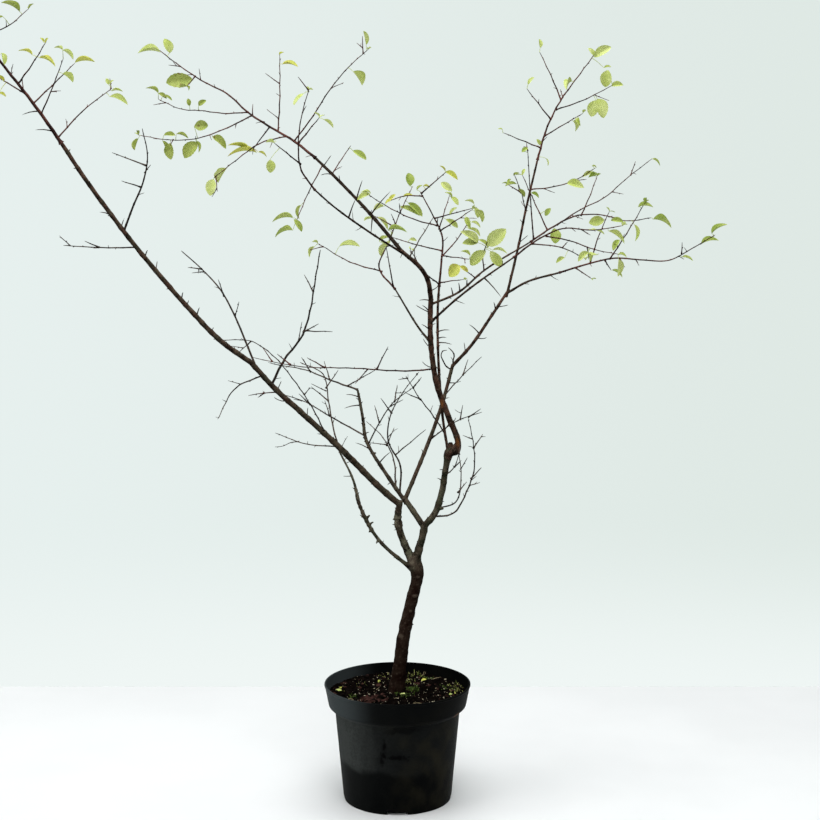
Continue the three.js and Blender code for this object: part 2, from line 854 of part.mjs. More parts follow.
function potWithOpenings() {
  let body = potSolid();
  for (let i = 0; i < pot.notches; i++) {
    const notch = new THREE.BoxGeometry(pot.notchWidth, pot.notchDepth, pot.notchHeight * 2);
    notch.translate(0, -pot.footRadius, 0).rotateZ((i * Math.PI * 2) / pot.notches);
    body = body.subtract(solid(notch));
  }
  for (let i = 0; i < pot.drainHoles; i++) {
    const hole = new THREE.CylinderGeometry(pot.drainRadius, pot.drainRadius, 3 * pot.wall, pot.drainSides);
    hole.rotateX(Math.PI / 2).translate(0, -pot.drainCircle, pot.baseRise + pot.wall / 2);
    hole.rotateZ(((i + 0.5) * Math.PI * 2) / pot.drainHoles);
    body = body.subtract(solid(hole));
  }
  return body;
}

// The soil fills the pot, clear of its wall by the gap
function soilSolid() {
  const inset = pot.wall + GAP;
  const bandFoot = pot.height - pot.bandHeight;
  const bodyTop = bandFoot - pot.shoulderHeight;
  const edge = soil.top - soil.edgeDrop;
  const bandSlope = (pot.rimRadius - pot.bandFootRadius) / pot.bandHeight;
  const edgeRadius = pot.bandFootRadius + bandSlope * (edge - bandFoot) - inset;
  return turned([
    [0, pot.baseRise + inset],
    [pot.footRadius - inset, pot.baseRise + inset],
    [pot.bodyRadius - inset, bodyTop],
    [pot.bandFootRadius - inset, bandFoot],
    [edgeRadius, edge],
    [soil.flatRadius, soil.top],
    [0, soil.top],
  ]);
}

const group = new THREE.Group();
group.add(mesh("pot", potWithOpenings(), looks.pot));
group.add(mesh("soil", soilSolid(), looks.soil));

// Each limb is cut clear of those before it, and the trunk is cut level above the soil
const taken = [];
const fatLimbs = [];
for (const [name, limb] of Object.entries(limbs)) {
  limb.points = smoothLine(limb.through.map(vector), faces.limbStep);
  let body = fatLimbs.reduce((sum, fat) => sum.subtract(fat), limbTube(limb));
  if (name === "trunk") {
    const size = pot.height;
    const below = new THREE.BoxGeometry(size, size, size).translate(0, 0, soil.top + GAP - size / 2);
    body = body.subtract(solid(below));
  }
  fatLimbs.push(limbTube(limb, GAP));
  const widest = limbRadius(limb);
  taken.push(...stretches(limb.points, Math.max(widest(0), widest(0.5), widest(1))));
  group.add(mesh(name, body, looks.bark));
}

// Each mass grows in the room that the limbs and the masses before it leave
Object.entries(masses).forEach(([name, mass], i) => {
  const grown = growMass(mass, limbs[mass.on], i + 1, taken);
  for (const twig of grown.twigs) taken.push(...stretches(twig.points, twig.radius[0]));
  for (const one of grown.leaves) taken.push(...leafStretches(one));
  const look = grown.leaves.length > 0 ? looks.leafyTwigs : looks.bareTwigs;
  group.add(mesh(name, massSolid(grown, fatLimbs), look));
});

export default group;
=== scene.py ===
# Looks of the potted cherry plum tree: its pot, soil, bark, twigs and leaves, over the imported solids.
import math

import bmesh
import bpy
import numpy as np
from mathutils import Matrix, Vector, noise
from mathutils.kdtree import KDTree


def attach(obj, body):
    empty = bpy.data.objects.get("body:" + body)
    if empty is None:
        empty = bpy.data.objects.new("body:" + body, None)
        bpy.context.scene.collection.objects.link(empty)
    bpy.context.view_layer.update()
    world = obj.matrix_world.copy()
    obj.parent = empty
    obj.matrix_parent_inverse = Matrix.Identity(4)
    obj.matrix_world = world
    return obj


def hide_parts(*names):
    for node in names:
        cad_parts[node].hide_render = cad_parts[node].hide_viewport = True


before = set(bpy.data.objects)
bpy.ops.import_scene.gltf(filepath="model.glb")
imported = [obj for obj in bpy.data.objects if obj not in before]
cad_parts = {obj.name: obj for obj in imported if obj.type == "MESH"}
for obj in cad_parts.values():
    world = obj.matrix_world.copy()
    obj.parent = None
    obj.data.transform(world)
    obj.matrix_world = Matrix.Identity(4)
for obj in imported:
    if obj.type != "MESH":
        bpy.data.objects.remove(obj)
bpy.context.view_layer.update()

# Lengths below are in millimetres, as in the part's source, unless they are said to be in metres
MM = 0.001

# The camera's place, how many degrees it looks down, its lens, and how far back the pale floor ends
CAMERA_PLACE = (19, -2666, 996)
CAMERA_DOWN = 8.53
CAMERA_LENS = 80
CAMERA_SENSOR = 36
FLOOR_BACK = 560

# The pot and the soil, as in the part's source
POT_HEIGHT = 179
RIM_RADIUS = 110.5
BAND_HEIGHT = 34
BAND_FOOT_RADIUS = 104
SHOULDER_HEIGHT = 6
BODY_RADIUS = 94.5
FOOT_RADIUS = 82
POT_WALL = 2
DISC_RADIUS = 30
BASE_RISE = 7
NOTCHES = 4
NOTCH_WIDTH = 31
NOTCH_HEIGHT = 6
NOTCH_DEPTH = 24
DRAIN_HOLES = 4
DRAIN_RADIUS = 6
DRAIN_CIRCLE = 58
SOIL_TOP = 166
SOIL_FLAT_RADIUS = 26
SOIL_EDGE_DROP = 3
# The limbs, as in the part's source: the radius at both ends, then places (right, back, up) on
# the centre line
LIMB_LINES = {
    "trunk": [
        (10.3, 7.6), (-4, 0, 150), (2, 0, 191), (9.5, 0, 251), (21, 0, 305), (30, 0, 346), (24, 0, 375),
    ],
    "left_stem": [(5.8, 4.6), (26, 0, 358), (18, -1, 377), (4, -4, 413), (1, -7, 435), (4, -14, 462)],
    "right_stem": [(6.2, 5.2), (25, 0, 360), (31, 1, 380), (38, 6, 406), (42, 10, 423)],
    "left_bough_low": [
        (4.9, 3.7), (4, -12, 456), (-24, -17, 481), (-84, -32, 545), (-139, -49, 600), (-172, -58, 632),
        (-213, -73, 680),
    ],
    "left_bough_high": [
        (3.8, 2.9), (-212, -73, 678), (-248, -84, 706), (-283, -97, 744), (-358, -129, 840),
        (-423, -156, 936), (-454, -166, 987),
    ],
    "low_left_bough": [
        (3.2, 1.5), (22, 1, 355), (-20, 8, 389), (-39, 13, 413), (-56, 22, 446), (-67, 37, 485),
        (-87, 57, 522),
    ],
    "crossing_stem": [(4.6, 4), (39, 10, 418), (24, 17, 440), (11, 25, 458)],
    "middle_left_bough": [
        (2.9, 1.6), (11, 25, 454), (-13, 42, 486), (-47, 67, 538), (-53, 80, 572), (-61, 96, 613),
    ],
    "crossing_bough": [
        (3.3, 2.6), (11, 25, 455), (36, 42, 513), (59, 60, 570), (73, 68, 614), (84, 76, 655),
    ],
    "right_bough": [(2.7, 2.2), (83, 76, 652), (112, 77, 684), (143, 82, 729), (166, 90, 763)],
    "upper_right_bough": [
        (2.2, 1.6), (166, 90, 760), (183, 100, 831), (194, 108, 885), (212, 119, 961),
    ],
    "low_right_bough": [(1.9, 1.6), (165, 90, 761), (197, 82, 780), (243, 71, 794)],
    "knot_bough": [(5, 4.4), (40, 10, 418), (56, 9, 438), (66, 9, 468), (72, 8, 505), (77, 6, 534)],
    "leader_low": [
        (4.6, 3.6), (76, 5, 530), (88, 0, 534), (90, -1, 549), (75, -7, 589), (58, -13, 638),
        (49, -21, 703), (49, -28, 768),
    ],
    "leader_high": [(3.6, 3), (49, -28, 766), (45, -30, 790), (34, -33, 809), (7, -37, 833)],
    "upper_left_bough": [(2.9, 2.1), (8, -37, 832), (-39, 0, 885), (-93, 38, 939), (-121, 54, 965)],
    "second_left_bough": [
        (1.8, 1.3), (18, -36, 824), (-39, -82, 863), (-86, -117, 899), (-112, -135, 923),
    ],
    "side_right_high": [(1.9, 1.3), (49, -28, 755), (91, 2, 771), (130, 24, 802), (198, 52, 841)],
    "side_right_low": [(1.9, 1.3), (49, -25, 729), (83, -54, 763), (112, -81, 789), (163, -129, 830)],
    "left_subleader": [(1.8, 1.3), (49, -21, 699), (32, -10, 719), (-3, 26, 773)],
    "centre_bough": [
        (2, 1.7), (76, 6, 530), (68, 16, 580), (61, 20, 671), (60, 24, 740), (62, 24, 777),
    ],
}
# Where a limb swells: the share of its length, the extra radius and the spread of each swell
SWELLS = {
    "trunk": [(0.06, 1.8, 0.09), (0.9, 1.7, 0.05)],
    "knot_bough": [(0.97, 2.2, 0.09)],
}
LIMBS = {
    name: {"radius": radius, "through": through, "swells": SWELLS.get(name, ())}
    for name, (radius, *through) in LIMB_LINES.items()
}

# The masses, as in the part's source: the limb that each grows on and the share of its length, how many
# leaves the stem bears, its radius at both ends, its places, and the shoots on it. A shoot has a share
# of the stem's length, a reach, leaves and a sag, and those left off are 0.
MASS_ROWS = {
    "left_tip_twigs": (
        "left_bough_high", 1, 4, (2.8, 0.8),
        [(-488, -174, 1039), (-532, -180, 1098), (-585, -183, 1176), (-622, -186, 1226)],
        [(0.03, (67, 45, 67), 3), (0.16, (39, -38, 72), 2, 5), (0.22, (50, 42, 55), 3),
         (0.27, (-54, 22, 31), 2, 4), (0.33, (46, -33, 54), 2), (0.5, (-44, -38, 31), 2, 4),
         (0.6, (60, 22, 36), 3, 5), (0.76, (-52, 33, 28), 2), (0.86, (23, 27, 46), 2)],
    ),
    "left_rise_twigs": (
        "left_bough_low", 0.94, 0, (1.6, 0.7),
        [(-220, -63, 712), (-248, -45, 769), (-276, -33, 801), (-313, -15, 832)],
        [(0.55, (-5, -27, 26)), (0.8, (-22, 18, 1))],
    ),
    "left_high_twigs": (
        "left_bough_high", 0.64, 0, (1.6, 0.6),
        [(-361, -147, 903), (-338, -165, 958), (-342, -180, 1007)],
        [(0.45, (-23, -21, 9)), (0.66, (-50, 27, 17), 0, 3)],
    ),
    "left_level_twigs": (
        "left_bough_high", 0.57, 0, (1.2, 0.6), [(-409, -105, 842), (-474, -67, 843)],
        [(0.5, (-16, -21, 10))],
    ),
    "left_side_twigs": (
        "left_bough_low", 0.84, 0, (1.9, 0.7),
        [(-149, -78, 700), (-131, -87, 721), (-116, -108, 787), (-106, -120, 840)],
        [(0.43, (23, -18, 14)), (0.44, (40, 27, -4)), (0.72, (-14, 24, 22))],
    ),
    "hanging_twigs": (
        "left_bough_low", 0.9, 0, (1.2, 0.5), [(-216, -82, 654), (-232, -97, 639), (-253, -120, 601)],
        [],
    ),
    "short_left_twigs": (
        "left_bough_low", 0.79, 0, (1, 0.6), [(-191, -45, 628), (-217, -30, 622)],
        [(0.5, (-10, 18, -9))],
    ),
    "arching_twigs": (
        "left_bough_low", 0.49, 0, (1, 0.5),
        [(-128, -75, 622), (-184, -127, 702), (-217, -142, 718), (-241, -150, 717)],
        [],
    ),
    "middle_top_twigs": (
        "middle_left_bough", 1, 0, (1.5, 0.6),
        [(-76, 101, 620), (-107, 112, 627), (-151, 131, 642), (-184, 144, 645)],
        [(0.13, (45, -24, 29), 0, 4), (0.35, (-10, 32, 25)), (0.6, (-13, -19, 25))],
    ),
    "middle_side_twigs": (
        "middle_left_bough", 0.62, 0, (1.3, 0.6), [(-103, 99, 571), (-145, 120, 592), (-175, 131, 600)],
        [(0.45, (-9, 36, 19)), (0.7, (-16, -22, 20))],
    ),
    "middle_right_twigs": (
        "middle_left_bough", 0.55, 0, (1.2, 0.5), [(-32, 47, 561), (-3, 19, 608), (23, 3, 629)],
        [(0.35, (-8, 23, 23)), (0.7, (4, 32, 21))],
    ),
    "low_left_twigs": (
        "low_left_bough", 1, 0, (1.3, 0.6),
        [(-94, 66, 543), (-104, 80, 588), (-112, 88, 636), (-149, 99, 655)],
        [(0.06, (-98, 31, 16), 0, 5), (0.5, (-27, 13, 20)), (0.62, (18, 22, 25))],
    ),
    "inner_left_twigs": (
        "middle_left_bough", 0.07, 0, (1.5, 0.5),
        [(3, 28, 516), (-17, 19, 556), (-8, 8, 591), (19, -7, 639), (32, -18, 655)],
        [(0.29, (46, -20, 42)), (0.62, (-16, -15, 25))],
    ),
    "inner_back_twigs": (
        "middle_left_bough", 0.13, 0, (1.3, 0.5),
        [(-4, 60, 502), (-13, 86, 525), (-35, 116, 551), (-49, 135, 558)],
        [(0.55, (11, 38, 22))],
    ),
    "right_outer_twigs": (
        "knot_bough", 0.14, 0, (1.5, 0.5),
        [(66, 4, 429), (81, -5, 439), (101, -19, 473), (114, -40, 524), (103, -67, 595)],
        [(0.5, (15, -14, 19)), (0.75, (14, 15, 19))],
    ),
    "right_inner_twigs": (
        "knot_bough", 0.26, 0, (1.2, 0.5), [(79, 14, 439), (91, 24, 463), (96, 38, 516), (90, 45, 535)],
        [(0.4, (14, 13, 14))],
    ),
    "knot_twigs": (
        "knot_bough", 0.68, 0, (1, 0.5), [(86, -13, 515), (91, -28, 535)],
        [(0.5, (10, -11, 12))],
    ),
    "crossing_side_twigs": (
        "crossing_bough", 0.45, 0, (1.2, 0.5), [(85, 38, 571), (114, 21, 593), (126, 13, 591)],
        [(0.6, (4, 11, 21)), (0.75, (18, -11, 14))],
    ),
    "crossing_tip_twigs": (
        "crossing_bough", 0.78, 0, (1, 0.5), [(91, 59, 625), (109, 47, 662), (126, 37, 671)],
        [(0.5, (8, 15, 22))],
    ),
    "centre_low_twigs": (
        "centre_bough", 0.12, 0, (1.1, 0.5), [(55, 0, 585), (23, -27, 632), (13, -37, 652)],
        [(0.6, (-22, -21, 13)), (0.8, (12, -24, 19))],
    ),
    "level_twigs": (
        "leader_low", 0.56, 0, (1.3, 0.5),
        [(8, -45, 660), (-62, -82, 669), (-137, -112, 675), (-202, -135, 691)],
        [(0.34, (17, -14, 35)), (0.62, (-24, -23, 17)), (0.8, (-20, 20, 13))],
    ),
    "subleader_twigs": (
        "left_subleader", 1, 4, (1.4, 0.5),
        [(-20, 43, 796), (-29, 50, 809), (-14, 56, 837), (3, 70, 881), (23, 78, 923)],
        [(0.03, (-10, -29, 61), 1), (0.2, (-98, 29, 41), 3, 6), (0.62, (-30, 26, 15), 2)],
    ),
    "centre_twigs": (
        "centre_bough", 1, 3, (1.7, 0.7), [(66, 27, 826), (65, 27, 860), (53, 28, 881), (34, 29, 916)],
        [(0.02, (-43, -27, 54), 1, 3), (0.04, (36, 10, 4)), (0.3, (41, 32, 50), 3),
         (0.31, (42, -34, -3), 2), (0.36, (-77, 69, 17), 2), (0.56, (47, -27, 33), 2),
         (0.58, (16, 27, 50), 3), (0.62, (-103, -43, 48), 3, 6), (0.7, (63, 12, 16), 3, -4),
         (0.95, (-50, 59, -9), 4), (0.98, (36, -29, 32), 2)],
    ),
    "upper_left_twigs": (
        "upper_left_bough", 1, 2, (2, 0.6),
        [(-154, 70, 990), (-219, 99, 1028), (-247, 112, 1054), (-306, 128, 1086), (-364, 144, 1128)],
        [(0.14, (112, -54, 132), 2, -6), (0.19, (-102, -59, -60), 2, -8), (0.24, (1, 40, 114), 1),
         (0.29, (-31, 29, -37), 3), (0.4, (-161, -75, -29), 5, 18), (0.43, (-146, 92, 21), 4, 10),
         (0.76, (-10, -22, -16), 1)],
    ),
    "leader_side_twigs": ("leader_high", 0.82, 0, (1, 0.5), [(32, -30, 848), (54, -18, 882)], []),
    "upper_side_twigs": ("upper_left_bough", 0.82, 1, (0.9, 0.5), [(-83, 56, 962), (-69, 72, 983)], []),
    "upper_hanging_twigs": (
        "upper_left_bough", 0.92, 4, (0.9, 0.5), [(-127, 32, 922), (-147, 8, 874)],
        [],
    ),
    "second_left_twigs": (
        "second_left_bough", 1, 1, (1.3, 0.5),
        [(-131, -153, 955), (-130, -172, 1010), (-117, -180, 1059)],
        [(0.3, (-33, -37, 29), 1), (0.5, (30, -22, 35), 1)],
    ),
    "upper_right_twigs": (
        "upper_right_bough", 1, 3, (1.6, 0.6),
        [(222, 124, 997), (235, 128, 1030), (247, 131, 1050), (272, 140, 1084), (301, 150, 1122)],
        [(0.1, (-59, -22, 23), 1), (0.2, (56, -22, 34), 3, 3), (0.34, (-38, -17, 46), 1),
         (0.43, (82, -27, 36), 3, 3), (0.52, (-32, 20, 72), 1)],
    ),
    "right_middle_twigs": (
        "upper_right_bough", 0.78, 4, (1.1, 0.5), [(239, 124, 921), (267, 132, 929), (303, 144, 949)],
        [],
    ),
    "right_left_twigs": (
        "upper_right_bough", 0.62, 4, (0.9, 0.5), [(186, 92, 914), (174, 84, 942)],
        [(0.5, (-20, 14, 12), 1)],
    ),
    "low_right_twigs": (
        "low_right_bough", 1, 3, (1.6, 0.6),
        [(316, 55, 816), (350, 40, 817), (392, 20, 814), (459, -30, 856)],
        [(0.1, (24, -10, -16)), (0.19, (26, -18, 79), 1), (0.28, (11, 12, -16), 1),
         (0.31, (48, -24, 85), 3)],
    ),
    "side_high_twigs": (
        "side_right_high", 1, 3, (1.4, 0.6),
        [(238, 64, 866), (285, 72, 883), (342, 85, 871), (383, 95, 875)],
        [(0.03, (-12, -30, 134), 1), (0.16, (-38, 10, 82), 2), (0.24, (134, -42, 98), 1, 5),
         (0.44, (27, 36, 58), 1)],
    ),
    "side_low_twigs": (
        "side_right_low", 1, 3, (1.4, 0.6), [(220, -165, 871), (251, -180, 869), (305, -210, 878)],
        [(0.2, (81, 69, -25), 4, -4), (0.34, (108, 60, -29), 2)],
    ),
    "side_rising_twigs": ("side_right_high", 0.55, 5, (1, 0.6), [(126, 15, 822), (133, 4, 846)], []),
    "side_left_twigs": ("side_right_high", 0.46, 2, (0.9, 0.5), [(92, 0, 809)], []),
}
MASS_PARTS = ("on", "at", "leaves", "radius", "through", "shoots")
MASSES = {name: dict(zip(MASS_PARTS, row)) for name, row in MASS_ROWS.items()}

# The rule that twigs and leaves grow by, as in the part's source
GROWTH = {
    "kink_every": 48,
    "kink": 0.09,
    "twiglet_every": 105,
    "twiglet_length": (14, 34),
    "twiglet_radius": (0.8, 0.5),
    "twiglet_lean": 0.75,
    "twiglet_jitter": 0.5,
    "twiglet_shrink": 0.4,
    "shoot_radius": (1.1, 0.5),
    "turn": 2.4,
    "leaf_length": (25, 38),
    "leaf_lean": 0.7,
    "leaf_droop": (0.25, 1.15),
    "leaf_roll": (-0.8, 0.8),
    "leaf_top": 0.98,
    "leaf_stretch": 0.42,
    "room": 42,
    "clear": 1,
    "root_free": 9,
    "stretch": 8,
}
LEAF = {"width": 0.52, "stalk_share": 0.3, "room_share": 0.42}
LIMB_STEP = 38
STEM_STEP = 42
DRAW = {"spread": 2654435769, "factor": 1664525, "step": 1013904223, "size": 4294967296}
# The seeds of the draws that the looks add to the rule
SEED = {
    "soil": 7, "seen": 99, "masses": 101, "spray_step": 7, "limbs": 301, "spurs": 501, "limb_twigs": 601,
}
UP = np.array([0.0, 0.0, 1.0])
BACK = np.array([0.0, 1.0, 0.0])
# Above this height share, a direction counts as upright
UPRIGHT = 0.9
# Into how many steps a smooth line is cut before it is measured
FINE_STEPS = 200
FULL_TURN = 2 * math.pi


# The seeded rule, written again from the part's source


def seeded(seed):
    """A function that draws the next number of one seed, from 0 to 1."""
    state = seed * DRAW["spread"] % DRAW["size"]

    def draw():
        nonlocal state
        state = (state * DRAW["factor"] + DRAW["step"]) % DRAW["size"]
        return state / DRAW["size"]

    return draw


def between(ends, share):
    return ends[0] + (ends[1] - ends[0]) * share


def unit(way):
    return way / math.sqrt(way @ way)


def smooth_line(through, step):
    """Places a step apart on a centripetal Catmull-Rom line through the given ones."""
    given = np.array(through, float)
    given = np.vstack([2 * given[0] - given[1], given, 2 * given[-1] - given[-2]])
    spans = len(given) - 3

    def at(share):
        span = np.minimum((share * spans).astype(int), spans - 1)
        part = (share * spans - span)[:, None]
        p0, p1, p2, p3 = (given[span + i] for i in range(4))
        d0, d1, d2 = (
            (((b - a) ** 2).sum(axis=1) ** 0.25)[:, None]
            for a, b in ((p0, p1), (p1, p2), (p2, p3))
        )
        t1 = ((p1 - p0) / d0 - (p2 - p0) / (d0 + d1) + (p2 - p1) / d1) * d1
        t2 = ((p2 - p1) / d1 - (p3 - p1) / (d1 + d2) + (p3 - p2) / d2) * d1
        cube = 2 * p1 - 2 * p2 + t1 + t2
        square = -3 * p1 + 3 * p2 - 2 * t1 - t2
        return p1 + part * (t1 + part * (square + part * cube))

    fine = np.arange(FINE_STEPS + 1) / FINE_STEPS
    far = distances(at(fine))
    count = max(2, math.floor(far[-1] / step + 0.5))
    return at(np.interp(np.linspace(0, far[-1], count + 1), far, fine))


def distances(points):
    """How far along a line each of its places is."""
    return np.concatenate([[0], np.cumsum(np.linalg.norm(np.diff(points, axis=0), axis=1))])


def walk(points, share):
    """The place at a share of a line's length, and the way that the line runs there."""
    far = distances(points)
    wanted = share * far[-1]
    i = 1
    while i < len(points) - 1 and far[i] < wanted:
        i += 1
    along = unit(points[i] - points[i - 1])
    return points[i - 1] + along * (wanted - far[i - 1]), along


def sideways(along, turn):
    """A direction square to a twig."""
    across = unit(np.cross(along, BACK if abs(along[2]) > UPRIGHT else UP))
    other = unit(np.cross(across, along))
    return across * math.cos(turn) + other * math.sin(turn)


def limb_radius(limb, share):
    """A limb's radius at a share of its length, with its swells."""
    extra = sum(more * math.exp(-(((share - at) / wide) ** 2)) for at, more, wide in limb["swells"])
    return between(limb["radius"], share) + extra


def crooked_twig(root, reach, sag, radius, draw):
    """A twig that kinks a little to either side on its way to the end of its reach."""
    steps = max(1, math.floor(np.linalg.norm(reach) / GROWTH["kink_every"] + 0.5))
    along = unit(reach)
    points = [root]
    for i in range(1, steps):
        share = i / steps
        kink = sideways(along, draw() * FULL_TURN)
        place = root + reach * share + kink * (GROWTH["kink"] * GROWTH["kink_every"] * draw())
        place[2] -= sag * 4 * share * (1 - share)
        points.append(place)
    points.append(root + reach)
    return {"points": np.array(points), "radius": radius}


def stretches(points, radius, start=0):
    """Short straight stretches of a line past its root, which stand for the room that it takes."""
    length = distances(points)[-1]
    steps = max(1, math.ceil((length - start) / GROWTH["stretch"]))
    shares = [min(1, (start + (length - start) * i / steps) / length) for i in range(steps + 1)]
    places = np.array([walk(points, share)[0] for share in shares])
    return np.hstack([places[:-1], places[1:], np.full((steps, 1), radius)])


def is_clear(wanted, taken):
    """Whether both ends of each wanted stretch are clear of every stretch that is taken."""
    start, run = taken[:, :3], taken[:, 3:6] - taken[:, :3]
    square = (run**2).sum(axis=1)
    for stretch in wanted:
        for place in (stretch[:3], stretch[3:6]):
            share = np.clip(((place - start) * run).sum(axis=1) / square, 0, 1)[:, None]
            far = np.linalg.norm(start + run * share - place, axis=1)
            if (far <= stretch[6] + taken[:, 6] + GROWTH["clear"]).any():
                return False
    return True


def leaf_on(twig, share, turn, draw):
    """A leaf's root on its twig, the way that it points, the way that its face looks, and its length."""
    root, along = walk(twig["points"], share)
    length = between(GROWTH["leaf_length"], draw())
    droop = between(GROWTH["leaf_droop"], draw())
    way = unit(sideways(along, turn) + along * GROWTH["leaf_lean"])
    way = unit(way - UP * droop)
    face = sideways(way, math.pi / 2 + between(GROWTH["leaf_roll"], draw()))
    return {"root": root, "way": way, "face": -face if face[2] < 0 else face, "length": length}


def leaf_stretches(leaf):
    start = leaf["root"] + leaf["way"] * (LEAF["stalk_share"] * leaf["length"])
    end = leaf["root"] + leaf["way"] * leaf["length"]
    return stretches(np.array([start, end]), leaf["length"] * LEAF["width"] * LEAF["room_share"])


def grow_mass(mass, limb, seed, taken):
    """A mass's twigs and leaves, skipping what would leave its space or touch a limb or a mass."""
    draw = seeded(seed)
    start = walk(limb["points"], mass["at"])[0]
    stem = {"points": smooth_line([start, *mass["through"]], STEM_STEP), "radius": mass["radius"]}
    tips = [walk(stem["points"], at)[0] + np.array(reach) for at, reach, *_ in mass["shoots"]]
    corners = np.vstack([stem["points"], *tips])
    space = (corners.min(axis=0) - GROWTH["room"], corners.max(axis=0) + GROWTH["room"])

    def fits(wanted):
        ends = wanted[:, 3:6]
        return is_clear(wanted, taken) and (ends >= space[0]).all() and (ends <= space[1]).all()

    def twig_fits(twig):
        return fits(stretches(twig["points"], twig["radius"][0], GROWTH["root_free"]))

    bearers = [{**stem, "leaves": mass["leaves"]}]
    for shoot in mass["shoots"]:
        at, reach, count, sag = (*shoot, 0, 0)[:4]
        root = walk(stem["points"], at)[0]
        made = crooked_twig(root, np.array(reach, float), sag, GROWTH["shoot_radius"], draw)
        if twig_fits(made):
            bearers.append({**made, "leaves": count})

    twiglets = []
    leaves = []
    for spray, bearer in enumerate(bearers):
        count = int(distances(bearer["points"])[-1] // GROWTH["twiglet_every"])
        first_turn = draw() * FULL_TURN
        for i in range(count):
            share = (i + GROWTH["twiglet_jitter"] * (1 + draw())) / count
            place, along = walk(bearer["points"], share)
            reach = sideways(along, first_turn + i * GROWTH["turn"]) + along * GROWTH["twiglet_lean"]
            grown = draw() * (1 - GROWTH["twiglet_shrink"] * share)
            reach = unit(reach) * between(GROWTH["twiglet_length"], grown)
            twiglet = crooked_twig(place, reach, 0, GROWTH["twiglet_radius"], draw)
            if twig_fits(twiglet):
                twiglets.append({**twiglet, "spray": spray})
        for i in range(bearer["leaves"]):
            share = GROWTH["leaf_top"] - GROWTH["leaf_stretch"] * i / bearer["leaves"]
            leaf = leaf_on(bearer, share, first_turn + i * GROWTH["turn"], draw)
            if fits(leaf_stretches(leaf)):
                leaves.append({**leaf, "spray": spray})
    return {"bearers": bearers, "twiglets": twiglets, "leaves": leaves, "space": space}


def grow_all():
    """Every mass, each in the room that the limbs and the masses before it leave."""
    taken = []
    for limb in LIMBS.values():
        limb["points"] = smooth_line(limb["through"], LIMB_STEP)
        widest = max(limb_radius(limb, share) for share in (0, 0.5, 1))
        taken.append(stretches(limb["points"], widest))
    taken = np.vstack(taken)
    grown = {}
    for i, (name, mass) in enumerate(MASSES.items()):
        made = grow_mass(mass, LIMBS[mass["on"]], i + 1, taken)
        room = [stretches(t["points"], t["radius"][0]) for t in made["bearers"] + made["twiglets"]]
        room += [leaf_stretches(leaf) for leaf in made["leaves"]]
        taken = np.vstack([taken, *room])
        grown[name] = made
    return grown


# Materials


class Nodes:
    """A node tree, with short calls for the nodes that the looks use."""

    def __init__(self, tree, coords):
        self.tree = tree
        self.texture = self.node("TexCoord", {})
        self.coords = self.texture.outputs[coords]

    def node(self, kind, inputs, **settings):
        """A new node with its settings, and with a value or a socket for each of the inputs named."""
        node = self.tree.nodes.new("ShaderNode" + kind)
        for name, value in settings.items():
            setattr(node, name, value)
        for name, value in inputs.items():
            self.link(value, node.inputs[name])
        return node

    def link(self, value, socket):
        if isinstance(value, bpy.types.NodeSocket):
            self.tree.links.new(value, socket)
        else:
            socket.default_value = value

    def mapped(self, scale, shift=(0, 0, 0)):
        """The place on the surface, scaled and then shifted along each axis."""
        inputs = {"Vector": self.coords, "Location": shift, "Scale": scale}
        return self.node("Mapping", inputs).outputs["Vector"]

    def along(self, axis, way=None):
        """How far the place, in metres, or another vector is along an axis."""
        return self.node("SeparateXYZ", {"Vector": way or self.coords}).outputs[axis]

    def noise(self, scale, detail=3, rough=0.55, at=None, low=0.35, high=0.65):
        """Noise from 0 to 1, with its middle band spread out between low and high."""
        inputs = {"Scale": scale, "Detail": detail, "Roughness": rough, "Vector": at or self.coords}
        return self.spread(self.node("TexNoise", inputs).outputs["Fac"], low, high)

    def cells(self, scale, low, high):
        """1 near the middle of each cell, 0 away from it."""
        node = self.node("TexVoronoi", {"Scale": scale, "Vector": self.coords})
        return self.spread(node.outputs["Distance"], high, low)

    def spread(self, value, low, high, start=0.0, end=1.0):
        """A value's way from low to high, turned into a smooth one from start to end."""
        inputs = {"Value": value, "From Min": low, "From Max": high, "To Min": start, "To Max": end}
        return self.node("MapRange", inputs, interpolation_type="SMOOTHSTEP").outputs["Result"]

    def across(self, axis, low, high, start=0.0, end=1.0):
        """A smooth change along an axis, between two places in millimetres."""
        return self.spread(self.along(axis), low * MM, high * MM, start, end)

    def times(self, product, *values):
        """The product of values, of which the first is a socket."""
        for value in values:
            product = self.node("Math", {0: product, 1: value}, operation="MULTIPLY").outputs["Value"]
        return product

    def plus(self, a, b):
        """The sum of two sockets."""
        return self.node("Math", {0: a, 1: b}, operation="ADD").outputs["Value"]

    def mix(self, share, a, b):
        """Colour a, or colour b as far as the share goes."""
        a, b = ((*colour, 1) if isinstance(colour, tuple) else colour for colour in (a, b))
        return self.node("Mix", {"Factor": share, "A": a, "B": b}, data_type="RGBA").outputs["Result"]

    def patch(self, middle, half, ragged, scale):
        """1 inside a patch with a ragged edge, from its middle and half sizes in millimetres."""
        middle, half = np.array(middle), np.array(half)
        place = self.mapped(1 / (half * MM), -middle / half)
        far = self.node("VectorMath", {0: place}, operation="LENGTH").outputs["Value"]
        edge = self.times(self.noise(scale, detail=4, low=0, high=1), ragged)
        return self.spread(self.plus(far, edge), *PATCH_EDGE)


